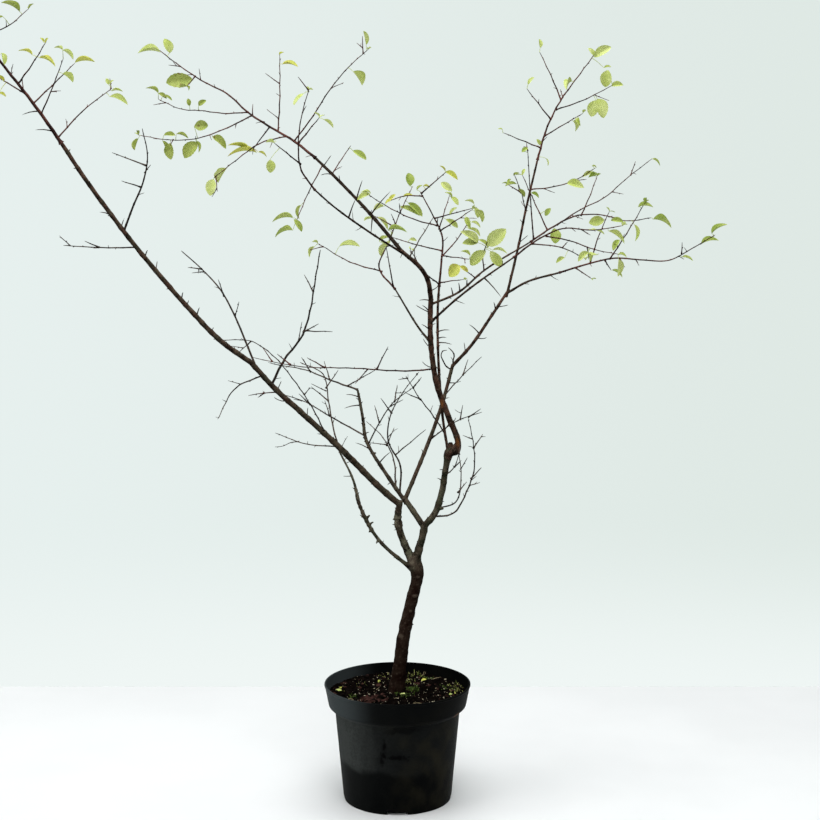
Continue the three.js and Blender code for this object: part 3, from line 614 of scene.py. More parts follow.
class Look(Nodes):
    """A Principled material, of one colour coated with others."""

    def __init__(self, name, colour, specular):
        self.material = bpy.data.materials.new(name)
        self.material.use_nodes = True
        super().__init__(self.material.node_tree, "Object")
        self.shader = self.tree.nodes["Principled BSDF"]
        self.shader.inputs["Specular IOR Level"].default_value = specular
        self.colour = colour

    def coat(self, share, colour):
        """Lays a colour over those before it, where its share is above 0."""
        self.colour = self.mix(share, self.colour, colour)

    def attribute(self, name):
        return self.node("Attribute", {}, attribute_name=name).outputs["Fac"]

    def shade_facing_down(self, start, end, most):
        """How far the surface faces down, from where that starts to show to where it is most, as a mask for
        painted shade.
        """
        return self.spread(self.along("Z", self.texture.outputs["Normal"]), start, end, 0, most)

    def bump(self, height, deep, strength=0.6):
        """Relief of a depth in millimetres, over the relief given before."""
        node = self.node("Bump", {"Strength": strength, "Distance": deep * MM, "Height": height})
        socket = self.shader.inputs["Normal"]
        if socket.is_linked:
            self.link(socket.links[0].from_socket, node.inputs["Normal"])
        self.link(node.outputs["Normal"], socket)

    def finish(self, roughness):
        self.link(self.colour, self.shader.inputs["Base Color"])
        self.link(roughness, self.shader.inputs["Roughness"])
        return self.material


# Where a patch's edge ends and starts, as shares of its half sizes
PATCH_EDGE = (1.25, 0.85)
# What share of its dark colour the painted shade on a twig's lower side has
TWIG_SHADE_SHARE = 0.25

BARK_COLOURS = {
    "dark": (0.0022, 0.0015, 0.001),
    "light": (0.055, 0.042, 0.029),
    "young_dark": (0.006, 0.0022, 0.0014),
    "young_light": (0.11, 0.053, 0.036),
    "flecks": (0.085, 0.063, 0.046),
    "lichen_grey": (0.145, 0.13, 0.09),
    "lichen_green": (0.07, 0.082, 0.05),
    "algae": (0.04, 0.048, 0.026),
    "trunk": (0.0115, 0.0042, 0.0028),
    "pale": (0.15, 0.115, 0.085),
    # above is a painted light on bark that faces up, below a painted shade on bark that faces down
    "above": (0.125, 0.1, 0.072),
    "below": (0.0025, 0.0018, 0.0012),
    "warm": (0.16, 0.06, 0.018),
    "cut": (0.003, 0.003, 0.003),
}
# The heights between which the trunk's red bark gives way to the boughs' bark, in millimetres
TRUNK_BARK_ENDS = (367, 349)


def bark_material():
    tints = BARK_COLOURS
    look = Look("bark", tints["dark"], 0.015)
    look.coat(look.noise(70, detail=5, low=0.38, high=0.62), tints["light"])
    young = look.mix(look.noise(110, detail=4), tints["young_dark"], tints["young_light"])
    look.coat(look.times(look.attribute("young"), look.noise(45, low=0.2, high=0.5)), young)
    look.coat(look.noise(260, low=0.58, high=0.8), tints["flecks"])
    lichen = look.mix(look.noise(40), tints["lichen_grey"], tints["lichen_green"])
    look.coat(look.times(look.attribute("lichen"), look.noise(100, detail=5, low=0.4, high=0.56)), lichen)
    look.coat(look.times(look.attribute("algae"), look.noise(80)), tints["algae"])
    look.coat(look.across("Z", *TRUNK_BARK_ENDS, 0, 0.8), tints["trunk"])
    look.coat(look.times(look.attribute("pale"), 0.4), tints["pale"])
    # Painted light on the bark that faces up, and painted shade on the bark that faces down
    look.coat(look.times(look.attribute("above"), look.noise(120, low=0.2, high=0.7), 0.5), tints["above"])
    look.coat(look.times(look.attribute("below"), 0.85), tints["below"])
    look.coat(look.times(look.attribute("warm"), look.noise(60, low=0.2, high=0.5)), tints["warm"])
    look.coat(look.attribute("cut"), tints["cut"])
    look.bump(look.noise(900, detail=4), 0.3)
    look.bump(look.noise(240, at=look.mapped((1, 1, 0.35))), 0.6)
    return look.finish(look.spread(look.noise(150), 0, 1, 0.55, 0.85))


# The dark and the light colour of the twigs' bark and the colour of its flecks
TWIG_COLOURS = {
    "young_twigs": ((0.019, 0.006, 0.005), (0.135, 0.05, 0.038), (0.19, 0.12, 0.09)),
    "bare_twigs": ((0.022, 0.015, 0.012), (0.088, 0.062, 0.047), (0.14, 0.12, 0.095)),
}


def twig_material(name, dark, light, fleck):
    look = Look(name, dark, 0.06)
    look.coat(look.noise(45), light)
    look.coat(look.times(look.cells(420, 0.12, 0.3), 0.5), fleck)
    # Painted shade on the twig's lower side
    look.coat(look.shade_facing_down(0.3, -0.4, 0.85), tuple(TWIG_SHADE_SHARE * part for part in dark))
    look.bump(look.noise(1300), 0.15)
    return look.finish(look.spread(look.noise(200), 0, 1, 0.45, 0.7))


# The leaves' two colours, and the colour of their spots where they have some
LEAF_COLOURS = {
    "fresh": ((0.3, 0.4, 0.072), (0.41, 0.48, 0.125)),
    "lime": ((0.43, 0.51, 0.125), (0.53, 0.6, 0.215)),
    "yellow": ((0.54, 0.54, 0.09), (0.48, 0.52, 0.1), (0.38, 0.26, 0.08)),
    "olive": ((0.25, 0.32, 0.052), (0.35, 0.41, 0.1), (0.21, 0.16, 0.05)),
}


def leaf_material(name, colour, other, spots=None):
    look = Look(name, colour, 0.25)
    look.coat(look.noise(60, detail=2), other)
    if spots:
        look.coat(look.noise(150, low=0.62, high=0.7), spots)
    look.bump(look.noise(90, detail=1, low=0.2, high=0.8), 0.3, 0.3)
    return look.finish(look.spread(look.noise(80), 0, 1, 0.5, 0.65))


# The pot's black plastic, the pale film over it, a painted sheen on the band's left that stands for a
# reflection, and what shows in patches
PLASTIC = (0.0012, 0.0015, 0.0016)
FILM = (0.041, 0.045, 0.043)
PAINTED_BAND_SHEEN = (0.045, 0.054, 0.056)
BROWN_FILM = (0.019, 0.017, 0.01)
RUST_COLOUR = (0.09, 0.04, 0.02)
SCUFF_AND_SHADOW_COLOUR = (0.0006, 0.0006, 0.0007)
DUST = (0.08, 0.078, 0.07)
# Marks on the pot's front: the middle and half sizes of each, in millimetres, and how dark it is; the last
# is a painted shadow under the band, the others are scuffs and smudges
RUST = ((88, -38, 143), (9, 30, 9))
SCUFFS_AND_SHADOW = [
    ((-19, -93, 106), (5.5, 14, 24), 1),
    ((-24, -92, 84), (7, 14, 21), 1),
    ((3, -95, 91), (29, 14, 9), 0.95),
    # A painted shadow under the band
    ((14, -97, 134), (66, 18, 12), 0.6),
]
# The height of the film's lower edge on the pot, and how far it wanders up and down, in millimetres
TIDE = (57, 71)
TIDE_WAVE = 12


def pot_material():
    look = Look("black_plastic", PLASTIC, 0.015)
    wave = look.spread(look.noise(11, low=0, high=1), 0, 1, -TIDE_WAVE * MM, TIDE_WAVE * MM)
    above_tide = look.spread(look.plus(look.along("Z"), wave), TIDE[0] * MM, TIDE[1] * MM, 0.12, 1)
    below_band = look.across("Z", 148, 140, 0.2, 1)
    # The film is thicker towards the left: partly real film, partly a painted reflection of the light from
    # the left
    left = look.times(look.across("X", -16, -94, 0.22, 1.2), look.across("X", 20, -30, 0.55, 1))
    clouds = look.noise(24, detail=5, low=0.1, high=0.5)
    streaks = look.spread(look.noise(60, detail=5, at=look.mapped((1, 1, 0.25))), 0, 1, 0.85, 1)
    grain = look.spread(look.noise(300, detail=4), 0, 1, 0.86, 1.1)
    film = look.times(clouds, streaks, above_tide, left, below_band, grain)
    look.coat(film, FILM)
    # Painted sheen: a reflection of the light on the band's left side
    look.coat(look.times(look.across("Z", 140, 150), look.across("X", -30, -90), 0.85), PAINTED_BAND_SHEEN)
    brown = look.times(look.noise(26, detail=6, low=0.42, high=0.68), look.across("X", -60, 90))
    look.coat(look.times(brown, below_band, 0.6), BROWN_FILM)
    look.coat(look.patch(*RUST, 0.9, 60), RUST_COLOUR)
    # Scuffs and smudges, and the painted shadow under the band
    for middle, half, dark in SCUFFS_AND_SHADOW:
        look.coat(look.times(look.patch(middle, half, 1, 90), dark), SCUFF_AND_SHADOW_COLOUR)
    look.coat(look.times(look.cells(900, 0.06, 0.16), look.noise(55, low=0.52, high=0.7), 0.55), DUST)
    look.bump(look.noise(1600), 0.12, 0.5)
    look.bump(look.noise(14, detail=2), 0.8, 0.35)
    return look.finish(look.spread(look.plus(film, look.times(clouds, 0.4)), 0, 1.3, 0.42, 0.72))


def soil_material():
    look = Look("potting_mix", (0.0008, 0.0006, 0.0005), 0.01)
    look.coat(look.noise(110, detail=5), (0.0035, 0.0021, 0.0015))
    look.coat(look.noise(420, low=0.62, high=0.74), (0.02, 0.012, 0.008))
    look.bump(look.noise(700, detail=5), 0.9)
    return look.finish(look.spread(look.noise(300), 0, 1, 0.75, 1))


# What lies on the soil: the name and the two colours of each kind
LITTER_COLOURS = {
    "soil_crumbs": ("soil_crumbs", (0.001, 0.0007, 0.0005), (0.0065, 0.0038, 0.0028)),
    "soil_chips": ("bark_chips", (0.016, 0.0065, 0.005), (0.055, 0.025, 0.02)),
    "soil_specks": ("pale_specks", (0.26, 0.23, 0.15), (0.5, 0.46, 0.34)),
    "soil_moss": ("moss", (0.03, 0.06, 0.01), (0.13, 0.19, 0.045)),
    "soil_sprouts": ("sprouts", (0.1, 0.13, 0.03), (0.42, 0.44, 0.14)),
    "soil_straw": ("dry_stalks", (0.25, 0.2, 0.12), (0.4, 0.34, 0.2)),
}


def litter_material(name, colour, other):
    look = Look(name, colour, 0.03)
    look.coat(look.noise(160, detail=4), other)
    look.bump(look.noise(1100, detail=4), 0.3)
    return look.finish(look.spread(look.noise(260), 0, 1, 0.8, 0.95))


MATERIALS = {"bark": bark_material(), "pot": pot_material(), "soil": soil_material()}
MATERIALS.update({name: twig_material(name, *colours) for name, colours in TWIG_COLOURS.items()})
MATERIALS.update({kind: leaf_material(f"{kind}_leaves", *tints) for kind, tints in LEAF_COLOURS.items()})
MATERIALS.update({kind: litter_material(*row) for kind, row in LITTER_COLOURS.items()})


# Meshes

# Edges that turn further than this are drawn sharp
SHARP = math.radians(55)


class Heap:
    """Many small closed shapes gathered into one mesh."""

    def __init__(self):
        self.places = []
        self.faces = []
        self.count = 0

    def add(self, places, faces):
        self.places.append(places)
        self.faces += [[self.count + i for i in face] for face in faces]
        self.count += len(places)

    def make(self, name, material, slot):
        return piece(name, np.vstack(self.places), self.faces, material)


def linked(name, data):
    """A new object in the scene."""
    obj = bpy.data.objects.new(name, data)
    bpy.context.scene.collection.objects.link(obj)
    return obj


def plain_mesh(name, places, faces):
    """A mesh from places in millimetres."""
    mesh = bpy.data.meshes.new(name)
    mesh.from_pydata((np.array(places) * MM).tolist(), [], faces)
    return mesh


def piece(name, places, faces, material):
    """An object of the plant, from places in millimetres."""
    mesh = plain_mesh(name, places, faces)
    mesh.validate()
    mesh.shade_smooth()
    mesh.set_sharp_from_angle(angle=SHARP)
    mesh.materials.append(material)
    obj = linked(name, mesh)
    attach(obj, "root")
    return obj


def frames(points):
    """At each place of a line, the way that it runs and two ways square to it that don't twist."""
    ahead = np.vstack([points[1:], points[-1:]])
    behind = np.vstack([points[:1], points[:-1]])
    ways = [unit(way) for way in ahead - behind]
    normal = sideways(ways[0], 0)
    made = []
    for way in ways:
        normal = unit(normal - way * (normal @ way))
        made.append((way, normal, np.cross(way, normal)))
    return made


def tube(heap, points, radii, sides):
    """A closed tube round a line."""
    turns = np.arange(sides) * FULL_TURN / sides
    cos, sin = np.cos(turns)[:, None], np.sin(turns)[:, None]
    rings = [
        point + radius * (cos * normal + sin * across)
        for point, radius, (_, normal, across) in zip(points, radii, frames(points))
    ]
    last = (len(points) - 1) * sides
    start, end = last + sides, last + sides + 1
    faces = []
    for j in range(sides):
        after = (j + 1) % sides
        for ring in range(0, last, sides):
            faces.append((ring + j, ring + after, ring + sides + after, ring + sides + j))
        faces += [(start, after, j), (end, last + j, last + after)]
    heap.add(np.vstack([*rings, points[:1], points[-1:]]), faces)


# Twigs, spurs and buds: finer than the source's, by a rule of their own

# Bare masses whose twigs are as red as the leafy ones'
RED_TWIGS = ("level_twigs", "short_left_twigs")

TWIG = {
    "step": 2.5,
    "sides": 6,
    "first_node": (4, 12),
    "node_every": (9, 17),
    "bare_end": 3,
    "zigzag": 0.4,
    "swell": 0.2,
    "swell_length": 1.1,
    "tip": 0.34,
    "tip_length": 9,
    "tip_share": 0.55,
    "collar": 0.7,
    "collar_length": 2.6,
}
BUD = {"length": (1.6, 2.6), "radius": 0.62, "lean": 0.75, "sides": 5}
BUD_PROFILE = np.array([(0, 0.7), (0.3, 1), (0.65, 0.75), (1, 0.08)])
# A side spur on a twig: its most radius, its least length, how much longer the longest is, how it leans
# along the twig, rises, bends and lifts, how often its tip is sharp, and how fat a sharp tip and a bud are
SPUR = {
    "radius": 0.75,
    "length": 2.5,
    "longer": 9,
    "lean": (0.15, 0.8),
    "rise": 0.15,
    "bend": (-0.12, 0.12),
    "lift": 0.08,
    "sharp": 0.3,
    "sharp_end": 0.3,
    "bud_end": 0.85,
    "sides": 5,
}
# The shares of its length at which a spur has a ring, its girths at the first of them, at the one before
# its end where it is as fat as its end says, and at its tip
SPUR_SHARES = np.array([-0.05, 0.12, 0.4, 0.68, 0.86, 1.0])
SPUR_GIRTHS = (1.25, 0.85, 0.62, 0.55)
SPUR_NECK = 0.62
SPUR_TIP = 0.06


def spur(heap, root, along, turn, length, radius, draw):
    """A short side twig that curves up to a bud or a sharp tip."""
    out = unit(sideways(along, turn) + along * between(SPUR["lean"], draw()) + UP * SPUR["rise"])
    bend = sideways(out, draw() * FULL_TURN) * (length * between(SPUR["bend"], draw()))
    shares = np.clip(SPUR_SHARES, 0, 1)
    points = root + np.outer(SPUR_SHARES * length, out)
    points += np.outer(np.sin(shares * math.pi), bend)
    points[:, 2] += SPUR["lift"] * length * shares**2
    fat = SPUR["sharp_end"] if draw() < SPUR["sharp"] else SPUR["bud_end"]
    radii = radius * np.array([*SPUR_GIRTHS, fat * SPUR_NECK, SPUR_TIP])
    tube(heap, points, radii, SPUR["sides"])


def bud(heap, root, along, turn, radius, draw):
    """A bud that lies close to its twig."""
    side = sideways(along, turn)
    out = unit(side * BUD["lean"] + along)
    shares, girths = BUD_PROFILE.T
    points = root + side * radius * 0.5 + np.outer(shares * between(BUD["length"], draw()), out)
    tube(heap, points, BUD["radius"] * girths, BUD["sides"])


def fine_twig(heap, twig, draw, spurs):
    """A twig with its nodes, buds and spurs. spurs is how often a node carries one. Returns its nodes."""
    line = smooth_line(twig["points"], TWIG["step"])
    far = distances(line)
    total = far[-1]
    nodes = []
    at = between(TWIG["first_node"], draw())
    turn = draw() * FULL_TURN
    while at < total - TWIG["bare_end"]:
        nodes.append((at, turn))
        at += between(TWIG["node_every"], draw())
        turn += GROWTH["turn"]
    bends = [0.0, *[at for at, _ in nodes], total]
    sizes = [0.0, *[TWIG["zigzag"] * (1 if i % 2 else -1) for i in range(len(nodes))], 0.0]
    _, across, other = frames(line)[len(line) // 2]
    lean = unit(across * math.cos(turn) + other * math.sin(turn))
    line = line + np.outer(np.interp(far, bends, sizes), lean)
    ends = np.minimum(1, TWIG["tip_share"] + (total - far) / TWIG["tip_length"])
    radii = np.maximum(between(twig["radius"], far / total) * ends, TWIG["tip"])
    radii += TWIG["collar"] * radii[0] * np.exp(-((far / TWIG["collar_length"]) ** 2))
    for at, _ in nodes:
        radii += TWIG["swell"] * np.exp(-(((far - at) / TWIG["swell_length"]) ** 2))
    tube(heap, line, radii, TWIG["sides"])
    made = []
    for at, turn in nodes:
        place, along = walk(line, at / total)
        radius = between(twig["radius"], at / total)
        if draw() < spurs:
            long = SPUR["longer"] * draw() ** 3 + SPUR["length"]
            spur(heap, place, along, turn, long, min(radius, SPUR["radius"]), draw)
        else:
            bud(heap, place, along, turn, radius, draw)
        made.append((place, along, turn, at / total))
    return made


# Leaves

LEAF_ACROSS = (-1, -0.6, -0.25, 0, 0.25, 0.6, 1)
LEAF_THICK = 0.22
FOLD = (0.3, 1.7)
CURL = (0.05, 0.5)
# A blade's outline and relief: its stations, the outline's powers before and after its widest place and its
# height there, the edge's teeth, and how the blade cups, waves and leans
BLADE = {
    "stations": 14,
    "outline": (0.8, 0.68),
    "widest": 0.364,
    "teeth": (0.97, 1.05),
    "cup": 1.25,
    "waves": 7,
    "wave": (0.0, 0.14),
    "lean": (-0.14, 0.14),
    "shortened": 0.25,
}
STALK = {"share": (0.16, 0.26), "radii": (0.5, 0.36, 0.34, 0.2), "inside": 1.5, "rise": 0.35, "sides": 4}
# A leaf of the rule: how long its blade is against the room kept for it, and its width as a share of that
GROWN = {"scale": 0.9, "width": (0.46, 0.62)}
TUFT = {"at": 0.995, "count": 2, "length": (6, 13), "width": 0.5, "lean": (0.3, 1.2), "roll": (-0.6, 0.6)}


def leaf_blade(heap, root, way, face, length, width, fold, curl, draw):
    """A closed thin blade: oval outline with a toothed edge, folded, curled and a little wavy."""
    side = np.cross(face, way)
    wave = between(BLADE["wave"], draw())
    phase = draw() * FULL_TURN
    lean = between(BLADE["lean"], draw())

    def place(u, v, half, edge):
        rise = abs(v) ** BLADE["cup"] * half * fold - curl * length * u * u
        rise += wave * half * v * math.sin(phase + BLADE["waves"] * u)
        out = v * edge / math.hypot(1, fold) + lean * length * u * u
        return root + way * (u * length * (1 - BLADE["shortened"] * curl * u)) + side * out + face * rise

    top = [root]
    before, after = BLADE["outline"]
    for i in range(1, BLADE["stations"]):
        u = i / BLADE["stations"]
        half = width / 2 * (u**before * (1 - u) ** after) / BLADE["widest"]
        tooth = BLADE["teeth"][i % 2]
        top += [place(u, v, half, half * (tooth if abs(v) == 1 else 1)) for v in LEAF_ACROSS]
    top = np.array([*top, place(1, 0, 0, 0)])
    wide = len(LEAF_ACROSS)
    tip = len(top) - 1
    inner = [i for i in range(1, tip) if (i - 1) % wide not in (0, wide - 1)]
    below = dict(zip(inner, range(tip + 1, tip + 1 + len(inner))))
    sheet = []
    for j in range(1, wide):
        sheet += [(0, j, j + 1), (tip, tip - j, tip - j - 1)]
        for a in range(j, tip - wide, wide):
            sheet += [(a, a + wide, a + wide + 1), (a, a + wide + 1, a + 1)]
    faces = sheet + [tuple(below.get(k, k) for k in three[::-1]) for three in sheet]
    heap.add(np.vstack([top, top[inner] - face * LEAF_THICK]), faces)


def leaf_stalk(heap, foot, knee, start, way):
    """A stalk from a twig, over its knee, into the start of a blade."""
    tube(heap, np.array([foot, knee, start, start + way * STALK["inside"]]), STALK["radii"], STALK["sides"])


def grow_leaf(heap, leaf, draw):
    """A leaf on its stalk, from its root on the twig."""
    way, face, length, foot = leaf["way"], leaf["face"], leaf["length"], leaf["root"]
    stalk = length * between(STALK["share"], draw())
    knee = foot + unit(way + UP * STALK["rise"]) * (stalk * 0.5)
    start = knee + way * (stalk * 0.5)
    leaf_stalk(heap, foot, knee, start, way)
    blade = (length - stalk) * GROWN["scale"]
    wide = blade * between(GROWN["width"], draw())
    leaf_blade(heap, start, way, face, blade, wide, between(FOLD, draw()), between(CURL, draw()), draw)


def grow_tuft(heap, place, along, draw):
    """A tuft of young leaves at a twig's end."""
    for i in range(TUFT["count"]):
        way = sideways(along, i * GROWTH["turn"] + draw()) + along * between(TUFT["lean"], draw())
        way = unit(way)
        face = sideways(way, math.pi / 2 + between(TUFT["roll"], draw()))
        face = face if face[2] > 0 else -face
        length = between(TUFT["length"], draw())
        fold, curl = between(FOLD, draw()), between(CURL, draw())
        leaf_blade(heap, place, way, face, length, length * TUFT["width"], fold, curl, draw)


# How often a spray of leaves has each colour
LEAF_SHARES = {"fresh": 0.44, "lime": 0.38, "yellow": 0.06, "olive": 0.12}


def deal_kind(draw):
    """One of the leaf colours, dealt to a whole spray."""
    left = draw()
    for kind, share in LEAF_SHARES.items():
        left -= share
        if left < 0:
            return kind
    return "fresh"


# Leaves seen in the photograph, in the plane of the pot's axis: where each starts (right, up), how far it
# reaches (right, up), its width as a share of its length, and how much of its face shows
SEEN_LEAVES = [
    # Left
    (-524, 1112, -21, 6, 0.35, 0.1), (-514, 1108, 23, -13, 0.4, 0.2), (-505, 1129, 5, 7, 0.5, 0.7),
    (-507, 1130, -6, 6, 0.5, 0.5), (-480, 1119, -14, 3, 0.4, 0.2), (-480, 1119, 14, -14, 0.45, 0.35),
    (-463, 1101, 29, 1, 0.35, 0.2), (-415, 1070, -4, 9, 0.6, 0.8), (-413, 1070, 6, 7, 0.5, 0.5),
    (-411, 1061, 16, -1, 0.35, 0.1), (-414, 1053, 26, -11, 0.42, 0.5), (-340, 1116, -32, -1, 0.42, 0.35),
    (-326, 1115, -5, 21, 0.62, 0.8), (-294, 1078, -36, -10, 0.55, 0.9), (-344, 1058, -19, 7, 0.35, 0.2),
    (-344, 1058, 11, -9, 0.5, 0.6), (-337, 1054, 13, -7, 0.4, 0.5), (-299, 1040, -4, 10, 0.6, 0.8),
    (-286, 1040, 10, 9, 0.6, 0.8), (-293, 1011, 20, -1, 0.75, 0.9), (-328, 987, -2, -24, 0.6, 0.8),
    (-337, 998, 17, -1, 0.5, 0.6), (-339, 990, 7, -13, 0.5, 0.6), (-289, 988, -18, -23, 0.65, 0.85),
    (-291, 990, 5, -17, 0.35, 0.4), (-267, 996, 21, -16, 0.5, 0.65), (-319, 1000, 17, -7, 0.35, 0.3),
    (-213, 974, -32, 10, 0.32, 0.1), (-203, 973, -42, -6, 0.28, 0.1), (-201, 974, 12, -7, 0.3, 0.2),
    (-184, 963, 1, -19, 0.7, 0.85), (-266, 935, -8, -23, 0.62, 0.9), (-165, 1099, 24, -3, 0.42, 0.35),
    (-169, 1112, 7, 4, 0.5, 0.5), (-151, 879, -31, -6, 0.34, 0.1), (-152, 861, -26, -10, 0.36, 0.15),
    (-150, 877, 9, -19, 0.45, 0.7), (-540, 1173, -25, 13, 0.4, 0.3), (-564, 1166, -9, -4, 0.5, 0.5),
    (-567, 1115, 5, -17, 0.45, 0.6), (-566, 1074, -10, 10, 0.45, 0.5), (-574, 1058, 10, -6, 0.5, 0.5),
    # Middle
    (-64, 976, 18, -15, 0.45, 0.65), (19, 925, -1, 19, 0.65, 0.9), (29, 919, 8, 8, 0.4, 0.5),
    (38, 925, 11, -3, 0.35, 0.3), (70, 945, 19, -10, 0.42, 0.65), (80, 918, -17, 11, 0.5, 0.8),
    (70, 946, -8, 9, 0.3, 0.4), (80, 909, -11, 7, 0.4, 0.3), (79, 909, 11, -11, 0.5, 0.7),
    (112, 899, -14, 5, 0.35, 0.15), (112, 895, 7, -16, 0.5, 0.65), (77, 883, 11, 11, 0.4, 0.5),
    (16, 901, 22, -19, 0.36, 0.7), (4, 895, 30, -10, 0.3, 0.6), (-12, 902, 11, 10, 0.45, 0.6),
    (-7, 906, -10, -7, 0.45, 0.5), (9, 909, 14, 3, 0.4, 0.5), (-39, 914, -18, -10, 0.45, 0.65),
    (-38, 915, -15, 1, 0.35, 0.2), (-13, 861, 28, -3, 0.32, 0.2), (18, 847, 11, -1, 0.55, 0.6),
    (-26, 845, 14, 5, 0.5, 0.45), (-29, 880, 15, -18, 0.36, 0.5), (-48, 875, 15, 3, 0.35, 0.25),
    (-84, 838, 30, -2, 0.42, 0.4), (71, 877, 17, -14, 0.42, 0.65), (108, 873, 14, -8, 0.42, 0.45),
    (105, 863, 17, -10, 0.4, 0.5), (118, 843, -25, 18, 0.45, 0.65), (118, 843, -23, 0, 0.5, 0.75),
    (134, 838, 22, 28, 0.56, 0.9), (130, 831, -25, -17, 0.52, 0.9), (136, 831, 15, -25, 0.48, 0.9),
    (133, 835, -14, 14, 0.42, 0.5), (140, 832, 21, -5, 0.3, 0.15), (107, 824, -14, 7, 0.35, 0.25),
    (91, 810, -17, -14, 0.75, 0.9), (92, 809, 11, -10, 0.5, 0.7),
    # Right
    (206, 1122, -2, 13, 0.5, 0.65), (284, 1109, 23, 16, 0.5, 0.8), (284, 1111, -9, 11, 0.5, 0.7),
    (304, 1091, -5, -24, 0.65, 0.9), (298, 1094, 11, 1, 0.45, 0.5), (309, 1068, 17, 3, 0.55, 0.7),
    (287, 1048, -8, -23, 0.65, 0.9), (289, 1050, 13, -26, 0.62, 0.85), (189, 1070, 10, 10, 0.45, 0.6),
    (153, 1006, -7, 1, 0.45, 0.4), (207, 984, -4, 9, 0.6, 0.8), (216, 965, 3, -11, 0.35, 0.4),
    (181, 974, 9, 6, 0.6, 0.7), (174, 928, -17, -4, 0.42, 0.4), (169, 940, 9, 4, 0.45, 0.5),
    (177, 921, 7, -13, 0.5, 0.65), (195, 915, 12, -6, 0.5, 0.6), (286, 944, -17, -6, 0.42, 0.6),
    (283, 954, 7, -3, 0.4, 0.3), (247, 929, 25, -4, 0.5, 0.7), (224, 893, -9, -10, 0.55, 0.8),
    (302, 876, -23, -3, 0.6, 0.9), (312, 875, 18, -1, 0.5, 0.65), (308, 860, 25, -17, 0.34, 0.45),
    (325, 847, -11, -15, 0.5, 0.65), (229, 864, 3, -22, 0.7, 0.9), (245, 821, -13, -7, 0.5, 0.65),
    (279, 829, -16, -12, 0.5, 0.7), (279, 828, 3, -13, 0.5, 0.6), (351, 895, 22, 0, 0.42, 0.4),
    (373, 877, 28, -13, 0.38, 0.25), (370, 964, 12, -11, 0.3, 0.15), (314, 803, 16, -10, 0.38, 0.35),
    (416, 822, 16, -6, 0.38, 0.35), (444, 841, 26, 6, 0.42, 0.45), (459, 856, 22, 13, 0.38, 0.35),
]
# How far from its line of sight a seen leaf's twig may pass, how the leaf leans, tilts, curls and folds,
# more so where it is seen from its edge, and the room that tufts and the rule's leaves keep from it
SEEN = {
    "near": 34,
    "lean": 0.3,
    "tilt": 1.1,
    "curl": (0.1, 0.3),
    "edge_curl": 0.35,
    "fold": (0.15, 0.5),
    "edge_fold": 0.9,
    "wider": 0.25,
    "least_stalk": 1,
    "from_tufts": 12,
    "from_rule": 30,
}
EYE = np.array(CAMERA_PLACE, float)


def sight(x, z):
    """The way from the camera to a place in the plane of the pot's axis."""
    return np.array([x, 0, z], float) - EYE


def seen_leaf(heaps, carriers, row, draw):
    """A seen leaf, on the twig that passes it as the camera sees it. Returns where it starts."""
    x, z, right, up, wide, shows = row
    ray = sight(x, z)
    places = carriers["places"] - EYE
    depths = places @ ray / (ray @ ray)
    gaps = np.linalg.norm(places - np.outer(depths, ray), axis=1)
    nearest = int(gaps.argmin())
    if gaps[nearest] > SEEN["near"]:
        return None
    heap = heaps[carriers["kinds"][nearest]]
    foot = carriers["places"][nearest]
    start = EYE + ray * depths[nearest]
    chord = EYE + sight(x + right, z + up) * depths[nearest] - start
    chord[1] += np.linalg.norm(chord) * SEEN["lean"] * (2 * draw() - 1)
    run = unit(chord)
    above = unit(np.array([-run[2], 0, run[0]]) * (1 if run[0] > 0 else -1))
    normal = unit(-BACK * shows + above * (SEEN["tilt"] - shows))
    normal = unit(normal - run * (normal @ run))
    curl = between(SEEN["curl"], draw()) + SEEN["edge_curl"] * (1 - shows)
    ahead = 1 - BLADE["shortened"] * curl
    size = math.hypot(ahead, curl)
    way = (run * ahead + normal * curl) / size
    face = (normal * ahead - run * curl) / size
    length = np.linalg.norm(chord) / size
    if np.linalg.norm(start - foot) > SEEN["least_stalk"]:
        leaf_stalk(heap, foot, foot + (start - foot) * 0.5 + UP, start, way)
    fold = between(SEEN["fold"], draw()) + SEEN["edge_fold"] * (1 - shows)
    width = length * wide * (1 + SEEN["wider"] * fold)
    leaf_blade(heap, start, way, face, length, width, fold, curl, draw)
    return start


# How often the nodes of twigs with and without leaves bear a spur, and how often a finer twig
NODES = {"leafy": {"spurs": 0.3, "forks": 0.07}, "bare": {"spurs": 0.5, "forks": 0.03}}
FORK = {"before": 0.85, "turn": 0.5, "lean": 0.8, "length": (10, 26), "radius": (0.6, 0.4), "spurs": 0.3}


def bark_of(name, mass):
    """Which bark a mass's twigs wear: the red bark of leafy twigs, or the grey one of bare twigs."""
    return "leafy" if mass["leaves"] or name in RED_TWIGS else "bare"


def grow_twigs(heap, mass, nodes, draw):
    """A mass's twigs, with a finer twig here and there."""
    for twig in mass["bearers"] + mass["twiglets"]:
        for place, along, turn, share in fine_twig(heap, twig, draw, nodes["spurs"]):
            if draw() < nodes["forks"] and share < FORK["before"]:
                reach = unit(sideways(along, turn + FORK["turn"]) + along * FORK["lean"])
                reach = reach * between(FORK["length"], draw())
                fine_twig(heap, crooked_twig(place, reach, 0, FORK["radius"], draw), draw, FORK["spurs"])


